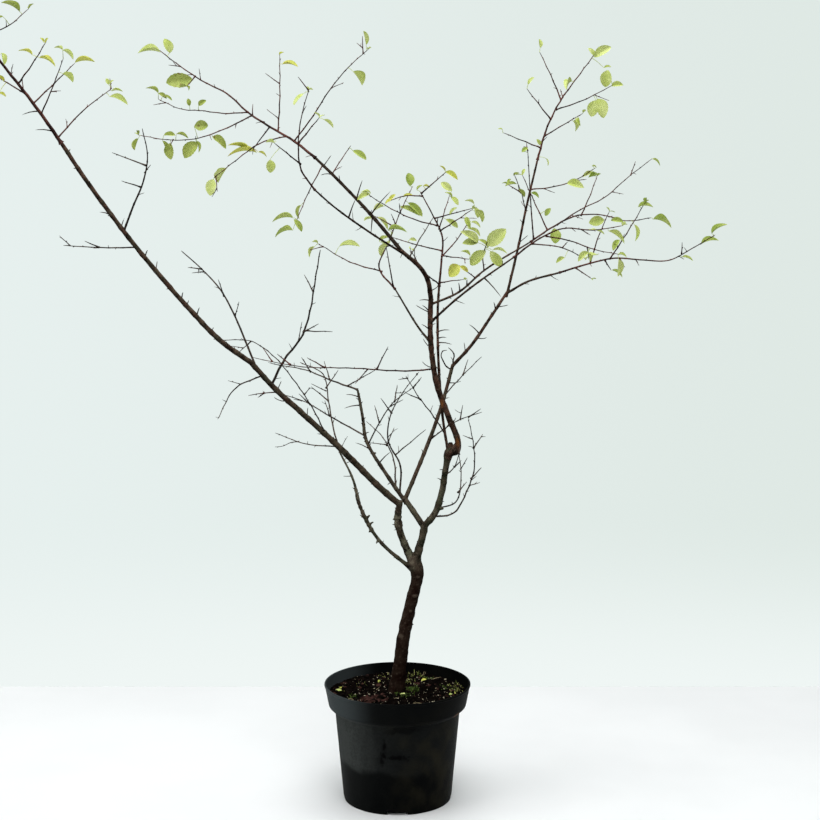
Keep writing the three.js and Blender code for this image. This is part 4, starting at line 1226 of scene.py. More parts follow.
def dress_masses(grown):
    """Twigs, buds, spurs and leaves of every mass."""
    twigs = {"leafy": Heap(), "bare": Heap()}
    leaves = {kind: Heap() for kind in LEAF_SHARES}
    sprays = {}
    carriers = {"places": [], "kinds": []}
    for i, (name, mass) in enumerate(grown.items()):
        seed = SEED["masses"] + SEED["spray_step"] * i
        sprays[name] = [deal_kind(seeded(seed + j)) for j in range(len(mass["bearers"]))]
        for kind, bearer in zip(sprays[name], mass["bearers"]):
            line = smooth_line(bearer["points"], TWIG["step"])
            carriers["places"] += list(line)
            carriers["kinds"] += [kind] * len(line)
    carriers["places"] = np.array(carriers["places"])
    draw = seeded(SEED["seen"])
    starts = [seen_leaf(leaves, carriers, row, draw) for row in SEEN_LEAVES]
    starts = np.array([start for start in starts if start is not None])

    def is_bare(place, room):
        return np.linalg.norm(starts - place, axis=1).min() > room

    for i, (name, mass) in enumerate(grown.items()):
        draw = seeded(SEED["masses"] + i)
        bark = bark_of(name, mass)
        grow_twigs(twigs[bark], mass, NODES[bark], draw)
        for kind, bearer in zip(sprays[name], mass["bearers"]):
            place, along = walk(bearer["points"], TUFT["at"])
            if mass["leaves"] and is_bare(place, SEEN["from_tufts"]):
                grow_tuft(leaves[kind], place, along, draw)
        for leaf in mass["leaves"]:
            if is_bare(leaf["root"], SEEN["from_rule"]):
                grow_leaf(leaves[sprays[name][leaf["spray"]]], leaf, draw)
    for bark, label in (("leafy", "young_twigs"), ("bare", "bare_twigs")):
        obj = twigs[bark].make(label, MATERIALS[label], "twigs")
        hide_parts(*[name for name, mass in grown.items() if bark_of(name, mass) == bark])
    for kind, heap in leaves.items():
        heap.make(f"{kind}_leaves", MATERIALS[kind], "twigs")


# Bark

BARK = {
    "step": 2,
    "sides": 18,
    "voxel": 1.1,
    "first_spur": (12, 30),
    "spur_every": (13, 34),
    "knob_every": (5, 9),
    "bare_end": 8,
    "collar": 0.5,
    "collar_length": (4, 1.6),
    "swell": 0.12,
    "swell_length": 2.6,
    "trunk_swell": 0.03,
    "overrun": 5,
    "straight": 0.9,
    "joined_within": 14,
}
# The relief's three noises: the size of each across and along the limb, in millimetres
LUMPS = (7, 11)
RIDGES = (2.4, 14)
BANDS = (4.5, 1.9)
# How much of a limb's radius the lumps and ridges are, where in its noise a pale band starts, how far it
# stands out on the boughs and on the trunk, in millimetres, and how much of that it keeps on thin limbs
RELIEF = {
    "lumps": 0.1,
    "ridges": 0.06,
    "band": 0.28,
    "raised": 0.5,
    "trunk_raised": 0.22,
    "thin": 4,
    "thin_share": 0.6,
    "pale": 3,
    "seed": 17.3,
}
# The size of the clouds in which lichen and algae stand, in millimetres
CLOUD = np.array((16, 16, 22))
# How much of them there is in the middle of such a cloud's noise, and how much more at its high end
CLOUDED = {"lichen": (0.6, 1.4), "algae": (0.8, -1.2)}
# How much of a limb's young bark it wears at its foot, and how much more at its end
YOUNG = (0.7, 0.6)
# How fast the painted light on bark that faces up and the painted shade on bark that faces down come in,
# and how far from level they start
LIGHT_SHADE_FACING = (1.4, 0.1)
# How each limb's bark differs from the rest: its lichen and algae, how much of it is smooth young bark, how
# much darker it is all round, how much thicker than the source's, and its knobs: the shares of its length
# between which they stand close together, and how much they swell it
WEAR = {
    "trunk": {"thicker": 1.07},
    "left_stem": {"lichen": 0.95, "knobs": (0.4, 0.8, 0.28)},
    "right_stem": {"lichen": 0.35, "algae": 0.3},
    "crossing_stem": {"lichen": 1},
    "knot_bough": {"lichen": 0.5, "algae": 0.9},
    "low_left_bough": {"lichen": 0.7, "algae": 0.6, "knobs": (0.3, 0.7, 0.5)},
    "left_bough_low": {"lichen": 0.3, "algae": 0.2, "young": 0.35},
    "left_bough_high": {"lichen": 0.4, "young": 0.7},
    "crossing_bough": {"lichen": 0.4, "young": 0.5},
    "middle_left_bough": {"lichen": 0.4, "thicker": 1.15, "knobs": (0.45, 0.95, 0.2)},
    "right_bough": {"young": 0.9},
    "upper_right_bough": {"young": 1},
    "low_right_bough": {"young": 0.9},
    "side_right_high": {"young": 0.8},
    "side_right_low": {"young": 0.8},
    "centre_bough": {"young": 1, "thicker": 1.12},
    "leader_low": {"young": 0.8},
    "leader_high": {"young": 0.6},
    "upper_left_bough": {"young": 0.25, "dark": 0.55},
    "second_left_bough": {"young": 0.4, "dark": 0.25},
}
# Shares that no place on a limb reaches
NO_KNOBS = (2, 2, 0)
# Places of their own on the bark, by their middles and half sizes: warm bark on the leader, pale scars on
# the trunk, and the black cut end of an old stub
WARM_PLACES = [((91, 0, 551), (6, 14, 13)), ((66, -8, 608), (4, 12, 10))]
SCARS = [
    ((5, -9, 254), (6, 8, 4)), ((20, -9, 293), (3, 8, 2.5)), ((27, -9, 316), (6, 8, 3)),
    ((31, -9, 345), (4, 8, 2.5)), ((21, -10, 370), (10, 9, 9)),
]
CUT_PLACES = [((79, 3, 548), (5, 7, 4.5))]
SCAR_STRENGTH = 1.2
# How strong such a place is in its middle, before it is held to 1, and how fast that falls off
PLACE_EDGE = 1.6
# The bumps of the knot, and small twigs seen on the limbs: the radius at both ends, then places
KNOT = [
    [(4.6, 3.3), (77, 4, 531), (79, 3, 540), (79, 2, 547)],
    [(6.6, 4.6), (73, 5, 529), (82, 3, 533), (90, 0, 545)],
]
LIMB_TWIGS = [
    [(1, 0.6), (91, -28, 535), (93, -14, 547), (90, -9, 560), (83, -12, 583)],
    [(1.3, 0.7), (85, 76, 653), (84, 74, 661), (86, 72, 668), (84, 71, 674), (77, 70, 681)],
    [(1.3, 0.6), (83, 76, 646), (74, 73, 652), (69, 71, 661), (66, 70, 669), (69, 69, 676), (75, 69, 677)],
    [(0.8, 0.4), (78, 73, 627), (87, 70, 627), (96, 68, 630)],
    [(0.8, 0.4), (-150, 77, 536), (-163, 80, 534), (-175, 83, 528), (-188, 86, 526)],
]
LIMB_TWIG_SPURS = 0.2
# Thorns seen on the limbs: the share of the limb's length and the reach of each
THORNS = {
    "left_bough_high": [
        (0.71, (-17, 0, 5)), (0.53, (5, -4, 11)), (0.335, (3, -4, 12)), (0.256, (5, -5, 14)),
    ],
    "upper_left_bough": [(0.544, (9, -8, 28)), (0.379, (29, -9, 34)), (0.36, (-2, -7, -25))],
    "second_left_bough": [(0.646, (10, -8, 26))],
    "leader_low": [(0.97, (-17, -4, 1)), (0.9, (-12, -6, 12)), (0.797, (-13, -5, 10))],
    "centre_bough": [(0.736, (18, -5, 3)), (0.696, (13, -5, 2)), (0.672, (21, -6, -2))],
    "side_right_high": [(0.22, (-3, -3, 12)), (0.29, (-2, -3, 13)), (0.365, (0, -3, 10))],
    "side_right_low": [(0.663, (24, -6, -27))],
    "right_bough": [(0.457, (-16, -5, 15)), (0.771, (-3, -4, 12))],
    "left_stem": [(0.55, (-9, -3, 2))],
    "knot_bough": [(0.6, (-10, -4, 8)), (0.74, (-9, -3, 3))],
    "middle_left_bough": [
        (0.2, (-7, -3, -3)), (0.3, (-8, -3, 6)), (0.36, (-7, -3, 7)), (0.385, (18, -7, 19)),
        (0.448, (-7, -3, 5)), (0.51, (-23, -6, 12)), (0.64, (7, -3, 4)), (0.875, (-25, -6, -4)),
        (0.94, (-20, -6, 5)),
    ],
    "crossing_bough": [(0.44, (7, -3, 8))],
}
# Thorns seen at the left bough's tip: the place of each and its reach
TIP_THORNS = [((-482, -173, 1030), (-22, -5, -5)), ((-464, -168, 1003), (-24, -5, 2))]
# Thick stubs seen on the limbs, given the same way, with each one's radius
STUBS = {
    "low_left_bough": [
        (0.55, (-5, -2, 8), 1.7), (0.486, (-7, -2, 3), 1.8), (0.475, (6, -2, 8), 2),
        (0.43, (7, -2, 6), 1.7), (0.383, (-6, -2, -1), 1.9), (0.308, (-4, -2, -5), 1.8),
    ],
    "knot_bough": [(0.25, (11, -3, 3), 3)],
    "trunk": [(0.525, (12, -3, 1), 1.8)],
    "left_stem": [(0.71, (-8, -2, 1), 2)],
    "middle_left_bough": [(0.6, (-5, -2, 3), 1.6), (0.47, (5, -2, 2), 1.6)],
}
# The shares of its reach at which a thorn or stub has a ring, how far its middle arches up, and its girths
ARCH_SHARES = np.array([0, 0.25, 0.55, 0.82, 1])
ARCH_RISE = 1.5
STUB_GIRTHS = np.array([1.1, 1, 0.9, 0.75, 0.4])
STUB_SIDES = 10
THORN_RADII = (1.3, 0.95, 0.75, 0.55, 0.08)
THORN_SIDES = 6
# The rule's spurs on the limbs: how far each stands out of the bark, and its radius
LIMB_SPUR = {"on_knobs": (2, 4.5), "long": (3, 25), "knob_radius": 1.3, "radius": 1.1, "radius_share": 0.45}


def wear(name, label, plain=0):
    return WEAR.get(name, {}).get(label, plain)


def joins_end(name, line):
    """How straight a limb goes on from another limb's end: 0 where it starts at none."""
    straight = 0
    for other, limb in LIMBS.items():
        before, end = (np.array(place, float) for place in limb["through"][-2:])
        if other != name and np.linalg.norm(end - line[0]) < BARK["joined_within"]:
            straight = max(straight, unit(end - before) @ unit(line[1] - line[0]))
    return straight


def limb_lines():
    """The fine centre line, radii and spurs of each limb."""
    made = {}
    for i, (name, limb) in enumerate(LIMBS.items()):
        draw = seeded(SEED["limbs"] + i)
        line = smooth_line(limb["through"], BARK["step"])
        straight = joins_end(name, line)
        if straight > BARK["straight"]:
            line = np.vstack([line[0] - unit(line[1] - line[0]) * BARK["overrun"], line])
        far = distances(line)
        total = far[-1]
        radii = np.array([limb_radius(limb, at / total) for at in far]) * wear(name, "thicker", 1)
        if name != "trunk" and not straight:
            least, more = BARK["collar_length"]
            radii *= 1 + BARK["collar"] * np.exp(-((far / (more * radii[0] + least)) ** 2))
        spurs = []
        knobs_start, knobs_end, knob_swell = wear(name, "knobs", NO_KNOBS)
        plain_swell = BARK["trunk_swell" if name == "trunk" else "swell"]
        at = between(BARK["first_spur"], draw())
        turn = draw() * FULL_TURN
        while at < total - BARK["bare_end"]:
            on_knobs = knobs_start < at / total < knobs_end
            spurs.append((at, turn, draw(), on_knobs))
            swell = knob_swell if on_knobs else plain_swell
            radii += swell * radii * np.exp(-(((far - at) / BARK["swell_length"]) ** 2))
            at += between(BARK["knob_every" if on_knobs else "spur_every"], draw())
            turn += GROWTH["turn"]
        made[name] = {"line": line, "far": far, "radii": radii, "spurs": spurs, "seed": i}
    return made


def closest(places, spots):
    """1 in the middle of any of the spots, falling off to 0 outside their half sizes."""
    made = []
    for middle, half in spots:
        far = np.linalg.norm((places - np.array(middle)) / np.array(half), axis=1)
        made.append(np.clip(PLACE_EDGE - PLACE_EDGE * far, 0, 1))
    return np.max(made, axis=0)


def remeshed(heap, voxel):
    """The outer skin of overlapping closed shapes, as places in millimetres and faces."""
    obj = linked("skin", plain_mesh("skin", np.vstack(heap.places), heap.faces))
    modifier = obj.modifiers.new("skin", "REMESH")
    modifier.mode = "VOXEL"
    modifier.voxel_size = voxel * MM
    skin = bpy.data.meshes.new_from_object(obj.evaluated_get(bpy.context.evaluated_depsgraph_get()))
    made = []
    for label in ("co", "normal"):
        values = np.empty(len(skin.vertices) * 3)
        skin.vertices.foreach_get(label, values)
        made.append(values.reshape(-1, 3))
    faces = [tuple(face.vertices) for face in skin.polygons]
    mesh = obj.data
    bpy.data.objects.remove(obj)
    bpy.data.meshes.remove(mesh)
    bpy.data.meshes.remove(skin)
    return made[0] / MM, made[1], faces


def arched(root, reach):
    """A slightly arched line from a limb's centre."""
    points = np.array(root) + np.outer(ARCH_SHARES, reach)
    points[:, 2] += ARCH_RISE * np.sin(ARCH_SHARES * math.pi)
    return points


def bark_skin(lines):
    """One skin over the trunk and the boughs, with the knot and the stubs."""
    heap = Heap()
    for limb in lines.values():
        tube(heap, limb["line"], limb["radii"], BARK["sides"])
    for radius, *through in KNOT:
        line = smooth_line(through, BARK["step"])
        tube(heap, line, np.linspace(*radius, len(line)), BARK["sides"])
    for name, stubs in STUBS.items():
        for share, reach, radius in stubs:
            root = walk(lines[name]["line"], share)[0]
            tube(heap, arched(root, reach), STUB_GIRTHS * radius, STUB_SIDES)
    return remeshed(heap, BARK["voxel"])


def rough(around, far, seed, size):
    """Noise on a limb, at a place round its centre line and so far along it."""
    wide, long = size
    return noise.noise(Vector((around.x / wide, around.y / wide, far / long + seed)))


def bark_relief(lines, places):
    """How far the bark stands out at each place of its skin, and the looks that follow the limbs."""
    samples = []
    for name, limb in lines.items():
        for sample in zip(limb["line"], limb["far"], limb["radii"], frames(limb["line"])):
            samples.append((name, *sample))
    tree = KDTree(len(samples))
    for i, sample in enumerate(samples):
        tree.insert(sample[1], i)
    tree.balance()
    relief = np.zeros(len(places))
    looks = {label: np.zeros(len(places)) for label in ("pale", "lichen", "algae", "young", "dark")}
    for i, place in enumerate(places):
        name, centre, far, radius, (_, normal, across) = samples[tree.find(place)[1]]
        seed = lines[name]["seed"] * RELIEF["seed"]
        out = place - centre
        around = Vector((out @ normal, out @ across, 0)).normalized() * radius
        lumps = RELIEF["lumps"] * rough(around, far, seed, LUMPS)
        ridges = RELIEF["ridges"] * rough(around, far, seed, RIDGES)
        band = max(0.0, rough(around, far, seed, BANDS) - RELIEF["band"])
        mark = band * (1 if radius > RELIEF["thin"] else RELIEF["thin_share"])
        raised = RELIEF["trunk_raised" if name == "trunk" else "raised"]
        relief[i] = radius * (lumps + ridges) + raised * mark
        cloud = noise.noise(Vector(place / CLOUD))
        grown = far / lines[name]["far"][-1]
        looks["pale"][i] = min(1, mark * RELIEF["pale"]) * raised / RELIEF["raised"]
        for label, (middle, more) in CLOUDED.items():
            looks[label][i] = wear(name, label) * min(1, max(0, middle + more * cloud))
        looks["young"][i] = min(1, wear(name, "young") * (YOUNG[0] + YOUNG[1] * grown))
        looks["dark"][i] = wear(name, "dark")
    return relief, looks


def dress_bark(lines):
    """The bark of the trunk and the boughs, with its relief and the looks of each place on it."""
    places, normals, faces = bark_skin(lines)
    relief, looks = bark_relief(lines, places)
    dark = looks.pop("dark")
    looks["pale"] = np.minimum(1, looks["pale"] + SCAR_STRENGTH * closest(places, SCARS))
    # Painted light on the bark that faces up and painted shade on the bark that faces down; a limb that is
    # darker all round gets the shade's colour everywhere and less painted light
    painted_light_and_shade = normals[:, 2] * LIGHT_SHADE_FACING[0] - LIGHT_SHADE_FACING[1]
    looks["above"] = np.clip(painted_light_and_shade, 0, 1) * (1 - dark)
    looks["below"] = np.clip(-painted_light_and_shade, dark, 1)
    looks["warm"] = closest(places, WARM_PLACES)
    looks["cut"] = closest(places, CUT_PLACES)
    obj = piece("bark", places + normals * relief[:, None], faces, MATERIALS["bark"])
    for label, values in looks.items():
        layer = obj.data.attributes.new(label, "FLOAT", "POINT")
        layer.data.foreach_set("value", values)
    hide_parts(*LIMBS)


def dress_spurs(lines):
    """The limbs' spurs, small twigs and thorns."""
    heap = Heap()
    for name, limb in lines.items():
        if name == "trunk":
            continue
        draw = seeded(limb["seed"] + SEED["spurs"])
        for at, turn, size, on_knobs in limb["spurs"]:
            place, along = walk(limb["line"], at / limb["far"][-1])
            inside = float(np.interp(at, limb["far"], limb["radii"]))
            if on_knobs:
                length, radius = between(LIMB_SPUR["on_knobs"], size), LIMB_SPUR["knob_radius"]
            else:
                length = between(LIMB_SPUR["long"], size**4)
                radius = min(LIMB_SPUR["radius"], LIMB_SPUR["radius_share"] * inside)
            spur(heap, place, along, turn, inside + length, radius, draw)
    draw = seeded(SEED["limb_twigs"])
    for radius, *through in LIMB_TWIGS:
        twig = {"points": smooth_line(through, TWIG["step"]), "radius": radius}
        fine_twig(heap, twig, draw, LIMB_TWIG_SPURS)
    thorns = list(TIP_THORNS)
    for name, rows in THORNS.items():
        thorns += [(walk(lines[name]["line"], share)[0], reach) for share, reach in rows]
    for root, reach in thorns:
        tube(heap, arched(root, reach), THORN_RADII, THORN_SIDES)
    heap.make("spurs", MATERIALS["bare_twigs"], "bark")


# Pot

POT_SIDES = 160
HOLE_SIDES = 32
# The heights between which a drain hole's cutter reaches, in millimetres
HOLE_CUT = (3, 14)
POT_SHARP = math.radians(38)
ROUND_STEPS = (0, 0.25, 0.5, 0.75, 1)
BAND_FOOT = POT_HEIGHT - BAND_HEIGHT
BODY_TOP = BAND_FOOT - SHOULDER_HEIGHT
INSIDE_FOOT = FOOT_RADIUS - POT_WALL
DISC_EDGE = DISC_RADIUS + BASE_RISE
# The pot's outline from the middle of its underside, over the rim and back: radius, height and rounding
POT_PROFILE = [
    (0, 0, 0),
    (DISC_RADIUS, 0, 1),
    (DISC_EDGE, BASE_RISE, 1.5),
    (INSIDE_FOOT, BASE_RISE, 1),
    (INSIDE_FOOT, 0, 0.3),
    (FOOT_RADIUS - 1.1, 0, 0.4),
    (FOOT_RADIUS - 0.1, 2.6, 1.4),
    (FOOT_RADIUS + 0.5, 7, 0),
    (BODY_RADIUS, BODY_TOP, 2),
    (BAND_FOOT_RADIUS - 3.2, BAND_FOOT - 1.4, 1.5),
    (BAND_FOOT_RADIUS, BAND_FOOT + 1.5, 2),
    (RIM_RADIUS - 0.9, POT_HEIGHT - 3.2, 0.8),
    (RIM_RADIUS, POT_HEIGHT - 2.4, 0.6),
    (RIM_RADIUS, POT_HEIGHT, 0.9),
    (RIM_RADIUS - POT_WALL - 0.6, POT_HEIGHT, 0.9),
    (RIM_RADIUS - POT_WALL - 1, POT_HEIGHT - 3, 0.6),
    (BAND_FOOT_RADIUS - POT_WALL, BAND_FOOT, 2),
    (BODY_RADIUS - POT_WALL, BODY_TOP, 2),
    (INSIDE_FOOT, BASE_RISE + POT_WALL, 2),
    (DISC_EDGE, BASE_RISE + POT_WALL, 1.5),
    (DISC_RADIUS, POT_WALL, 1),
    (0, POT_WALL, 0),
]


def rounded(profile):
    """A profile whose corners, given as (radius, height, rounding), are rounded off."""
    made = []
    for i, (x, z, size) in enumerate(profile):
        corner = np.array([x, z], float)
        if size == 0:
            made.append(corner)
            continue
        before = np.array(profile[i - 1][:2], float)
        after = np.array(profile[(i + 1) % len(profile)][:2], float)
        start = corner + unit(before - corner) * size
        end = corner + unit(after - corner) * size
        for t in ROUND_STEPS:
            made.append(start * (1 - t) ** 2 + corner * 2 * t * (1 - t) + end * t * t)
    return made


def lathe(profile, sides):
    """Places and faces of a body turned about +Z, from a profile that starts and ends on the axis."""
    turns = np.arange(sides) * FULL_TURN / sides
    places = [(0, 0, profile[0][1])]
    for x, z in profile[1:-1]:
        places += [(x * math.cos(t), x * math.sin(t), z) for t in turns]
    places.append((0, 0, profile[-1][1]))
    last = len(places) - 1
    rings = len(profile) - 2
    faces = []
    for j in range(sides):
        after = (j + 1) % sides
        faces.append((0, 1 + after, 1 + j))
        for ring in range(rings - 1):
            a = 1 + ring * sides
            faces.append((a + j, a + after, a + sides + after, a + sides + j))
        a = 1 + (rings - 1) * sides
        faces.append((a + j, a + after, last))
    return np.array(places), faces


def cut(obj, cutters):
    """Cuts shapes out of an object, and removes them."""
    for cutter in cutters:
        modifier = obj.modifiers.new("cut", "BOOLEAN")
        modifier.operation = "DIFFERENCE"
        modifier.solver = "EXACT"
        modifier.object = cutter
    cut_mesh = bpy.data.meshes.new_from_object(obj.evaluated_get(bpy.context.evaluated_depsgraph_get()))
    obj.modifiers.clear()
    obj.data = cut_mesh
    for cutter in cutters:
        bpy.data.objects.remove(cutter)


def bm_shape(body):
    """The places and faces of a bmesh, which it frees."""
    places = [tuple(vertex.co) for vertex in body.verts]
    faces = [[vertex.index for vertex in face.verts] for face in body.faces]
    body.free()
    return np.array(places), faces


def dress_pot():
    """The pot with a rounded lip and corners, its notched foot ring and its drain holes."""
    places, faces = lathe(rounded(POT_PROFILE), POT_SIDES)
    obj = piece("plastic_pot", places, faces, MATERIALS["pot"])
    shapes = []
    for i in range(NOTCHES):
        box = bmesh.new()
        bmesh.ops.create_cube(box, size=1)
        size = Matrix.Diagonal((NOTCH_WIDTH, NOTCH_DEPTH, NOTCH_HEIGHT * 2, 1))
        turn = Matrix.Rotation(i * FULL_TURN / NOTCHES, 4, "Z")
        box.transform(turn @ Matrix.Translation((0, -FOOT_RADIUS, 0)) @ size)
        shapes.append(bm_shape(box))
    low, high = HOLE_CUT
    for i in range(DRAIN_HOLES):
        turn = (i + 0.5) * FULL_TURN / DRAIN_HOLES
        hole, sides = lathe([(0, low), (DRAIN_RADIUS, low), (DRAIN_RADIUS, high), (0, high)], HOLE_SIDES)
        shapes.append((hole + np.array([math.sin(turn), -math.cos(turn), 0]) * DRAIN_CIRCLE, sides))
    cut(obj, [linked("cutter", plain_mesh("cutter", *shape)) for shape in shapes])
    obj.data.shade_smooth()
    obj.data.set_sharp_from_angle(angle=POT_SHARP)
    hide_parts("pot")


# Soil

SOIL_GAP = 0.35
SOIL_INSET = POT_WALL + SOIL_GAP
SOIL_SIDES = 200
SOIL_RINGS = 70
# How far inside the soil's edge the loose bits and the tufts stay
EDGE_ROOM = 4
TUFT_EDGE_ROOM = 2
# The soil's relief: the size of its lumps, crumbs and grains, their place in the noise and their height
SOIL_RELIEF = ((22, 3, 2.8), (7, 9, 2.6), (2.8, 5, 1.3))
# Loose bits: how many, how high they lie, their sizes, how rare the large ones are, and how flat they are
CRUMBS = {
    "crumbs": (1700, 0, (0.7, 4.2), 3, 0.8),
    "chips": (110, 0.6, (1.6, 5), 2, 0.35),
    "specks": (340, 0.7, (0.5, 1.5), 2, 0.6),
}
CRUMB = {"long": (0.7, 1.6), "wide": (0.6, 1.1), "uneven": (0.75, 1.2)}
# Bark chips that lie together
CHIP_PLACE = {"middle": (-36, -40), "half": (26, 22), "count": 60, "lift": 0.8}
# Tufts on the soil: the kind, how far right and back, how far it spreads, its blades and how tall they are
MOSS = [
    ("moss", 22, 3, 11, 210, (2, 8)),
    ("moss", 0, -17, 6, 90, (1, 5)),
    ("moss", 16, -26, 12, 110, (1, 5)),
    ("moss", -67, -22, 9, 50, (1, 3)),
    ("moss", 74, 24, 12, 60, (1, 4)),
    ("moss", 45, 70, 16, 70, (1, 5)),
    ("sprouts", 16, 44, 12, 40, (1, 5)),
    ("sprouts", 30, 88, 18, 34, (1, 7)),
    ("sprouts", 88, 34, 18, 60, (1, 6)),
    ("sprouts", 90, 8, 12, 40, (1, 5)),
    ("sprouts", -55, 38, 14, 34, (1, 3)),
    ("sprouts", -90, 8, 8, 30, (1, 4)),
    ("sprouts", 4, -14, 6, 22, (1, 3)),
    ("sprouts", -20, 78, 20, 26, (1, 4)),
    ("straw", 38, 96, 12, 9, (3, 9)),
]
# Where each blade of a tuft has a ring, its radius there, and how steeply it rises
SPROUT_SHARES = np.array([0, 0.5, 1])
SPROUT_RADII = (0.3, 0.55, 0.12)
SPROUT_RISE = 0.45
# How deep a blade's foot stands in the soil, how rare the tall ones are, and the sides of blades and stalks
SPROUT_SUNK = 0.5
SPROUT_RARE = 1.5
SPROUT_SIDES = 4
# Dry stalks that lie on the soil, and where each has a ring, bends aside, and its radius there
STRAWS = {"count": 14, "lift": 0.8, "rise": 0.12, "length": (6, 17), "bend": 0.14, "arch": 0.3}
STRAW_SHARES = np.array([0, 0.25, 0.5, 0.75, 1])
STRAW_BENDS = np.array([0, 0.7, 1, 0.7, 0])
STRAW_RADII = (0.35, 0.4, 0.38, 0.32, 0.2)
# Fallen leaves: how far right and back, length, turn and colour, and below that what they share
FALLEN = [
    (-94, -2, 12, 0.4, "lime"),
    (-86, 14, 9, 1.9, "yellow"),
    (88, -6, 12, 2.4, "yellow"),
    (78, -22, 9, 0.9, "lime"),
    (12, -27, 8, 2.9, "lime"),
    (-30, 46, 12, 1.1, "yellow"),
    (44, 58, 10, 4.0, "yellow"),
]
FALLEN_LEAF = {"lift": 1.8, "rise": 0.05, "face": (0.1, -0.3, 1.0), "width": 0.55, "fold": 0.4, "curl": 0.2}


def soil_height(x, y):
    """The soil's crumbly surface."""
    share = max(0.0, (math.hypot(x, y) - SOIL_FLAT_RADIUS) / (RIM_RADIUS - SOIL_FLAT_RADIUS))
    lumps, crumbs, grains = (
        noise.noise(Vector((x / wide, y / wide, at))) * high for wide, at, high in SOIL_RELIEF
    )
    return SOIL_TOP - SOIL_EDGE_DROP * share + lumps + (crumbs + grains)


def on_soil(x, y, lift=0.0):
    return np.array([x, y, soil_height(x, y) + lift])


def crumb(heap, place, size, flat, draw):
    """An irregular little lump."""
    body = bmesh.new()
    bmesh.ops.create_icosphere(body, subdivisions=1, radius=1)
    ball, faces = bm_shape(body)
    turn = Matrix.Rotation(draw() * FULL_TURN, 3, "Z") @ Matrix.Rotation(draw() * 2 - 1, 3, "X")
    stretch = np.array([between(CRUMB["long"], draw()), between(CRUMB["wide"], draw()), flat])
    places = []
    for corner in ball:
        wide = between(CRUMB["uneven"], draw())
        places.append(np.array(turn @ Vector(corner * stretch * wide * size)) + place)
    heap.add(np.array(places), faces)


def soil_body(edge):
    """Potting mix that fills the pot, with a crumbly top."""
    profile = [
        (0, BASE_RISE + SOIL_INSET),
        (FOOT_RADIUS - SOIL_INSET - 1, BASE_RISE + SOIL_INSET),
        (BODY_RADIUS - SOIL_INSET - 0.6, BODY_TOP),
        (BAND_FOOT_RADIUS - SOIL_INSET - 0.6, BAND_FOOT + 0.8),
    ]
    top = [(edge * (1 - i / SOIL_RINGS), SOIL_TOP) for i in range(SOIL_RINGS + 1)]
    places, faces = lathe(profile + top, SOIL_SIDES)
    for place in places:
        if place[2] == SOIL_TOP:
            place[2] = soil_height(place[0], place[1])
    obj = piece("potting_mix", places, faces, MATERIALS["soil"])
    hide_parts("soil")


def dress_soil():
    """The potting mix, with crumbs, bark chips, pale specks, moss and fallen bits on it."""
    slope = (RIM_RADIUS - BAND_FOOT_RADIUS) / BAND_HEIGHT
    edge = BAND_FOOT_RADIUS + slope * (SOIL_TOP - SOIL_EDGE_DROP - BAND_FOOT) - SOIL_INSET - 0.3
    soil_body(edge)
    draw = seeded(SEED["soil"])
    heaps = {kind: Heap() for kind in ("crumbs", "chips", "specks", "moss", "sprouts", "straw")}

    def spot(lift):
        far = (edge - EDGE_ROOM) * math.sqrt(draw())
        turn = draw() * FULL_TURN
        return on_soil(far * math.cos(turn), far * math.sin(turn)) + UP * lift

    def scatter(kind):
        count, lift, size, rare, flat = CRUMBS[kind]
        for _ in range(count):
            place = spot(lift)
            crumb(heaps[kind], place, between(size, draw() ** rare), flat, draw)

    scatter("crumbs")
    scatter("chips")
    _, _, size, _, flat = CRUMBS["chips"]
    for _ in range(CHIP_PLACE["count"]):
        x, y = (at + half * (draw() - draw()) for at, half in zip(CHIP_PLACE["middle"], CHIP_PLACE["half"]))
        crumb(heaps["chips"], on_soil(x, y, CHIP_PLACE["lift"]), between(size, draw()), flat, draw)
    scatter("specks")
    for kind, right, back, wide, count, tall in MOSS:
        for _ in range(count):
            x = right + wide * (draw() - draw())
            y = back + wide * (draw() - draw())
            if math.hypot(x, y) > edge - TUFT_EDGE_ROOM:
                continue
            way = unit(np.array([draw() - 0.5, draw() - 0.5, SPROUT_RISE]))
            reach = way * between(tall, draw() ** SPROUT_RARE)
            line = on_soil(x, y, -SPROUT_SUNK) + np.outer(SPROUT_SHARES, reach)
            tube(heaps[kind], line, SPROUT_RADII, SPROUT_SIDES)
    for _ in range(STRAWS["count"]):
        foot = spot(STRAWS["lift"])
        way = unit(np.array([draw() - 0.5, draw() - 0.5, STRAWS["rise"] * draw()]))
        long = between(STRAWS["length"], draw())
        bend = np.array([draw() - 0.5, draw() - 0.5, STRAWS["arch"]]) * long * STRAWS["bend"]
        line = foot + np.outer(STRAW_SHARES, way * long) + np.outer(STRAW_BENDS, bend)
        tube(heaps["straw"], line, STRAW_RADII, SPROUT_SIDES)
    for kind, heap in heaps.items():
        heap.make(f"soil_{kind}", MATERIALS[f"soil_{kind}"], "soil")

    fallen = {"lime": Heap(), "yellow": Heap()}
    face = unit(np.array(FALLEN_LEAF["face"]))
    fold, curl = FALLEN_LEAF["fold"], FALLEN_LEAF["curl"]
    for x, y, length, turn, kind in FALLEN:
        way = unit(np.array([math.cos(turn), math.sin(turn), FALLEN_LEAF["rise"]]))
        root = on_soil(x, y, FALLEN_LEAF["lift"])
        width = length * FALLEN_LEAF["width"]
        leaf_blade(fallen[kind], root, way, face, length, width, fold, curl, draw)
    for kind, heap in fallen.items():
        heap.make(f"fallen_{kind}_leaves", MATERIALS[kind], "soil")


# The scene

# The backdrop's colour at the left, at the right and low down, and the room in front of the plant
WALL_LEFT = (0.8, 0.875, 0.86)
WALL_RIGHT = (0.735, 0.81, 0.775)
WALL_LOW = (0.87, 0.925, 0.91)
ROOM = (0.05, 0.055, 0.055)
# How much less light the backdrop sheds than the camera sees in it
WALL_DIMMED = 0.5
FLOOR_COLOURS = ((0.83, 0.845, 0.85), (0.87, 0.885, 0.89))
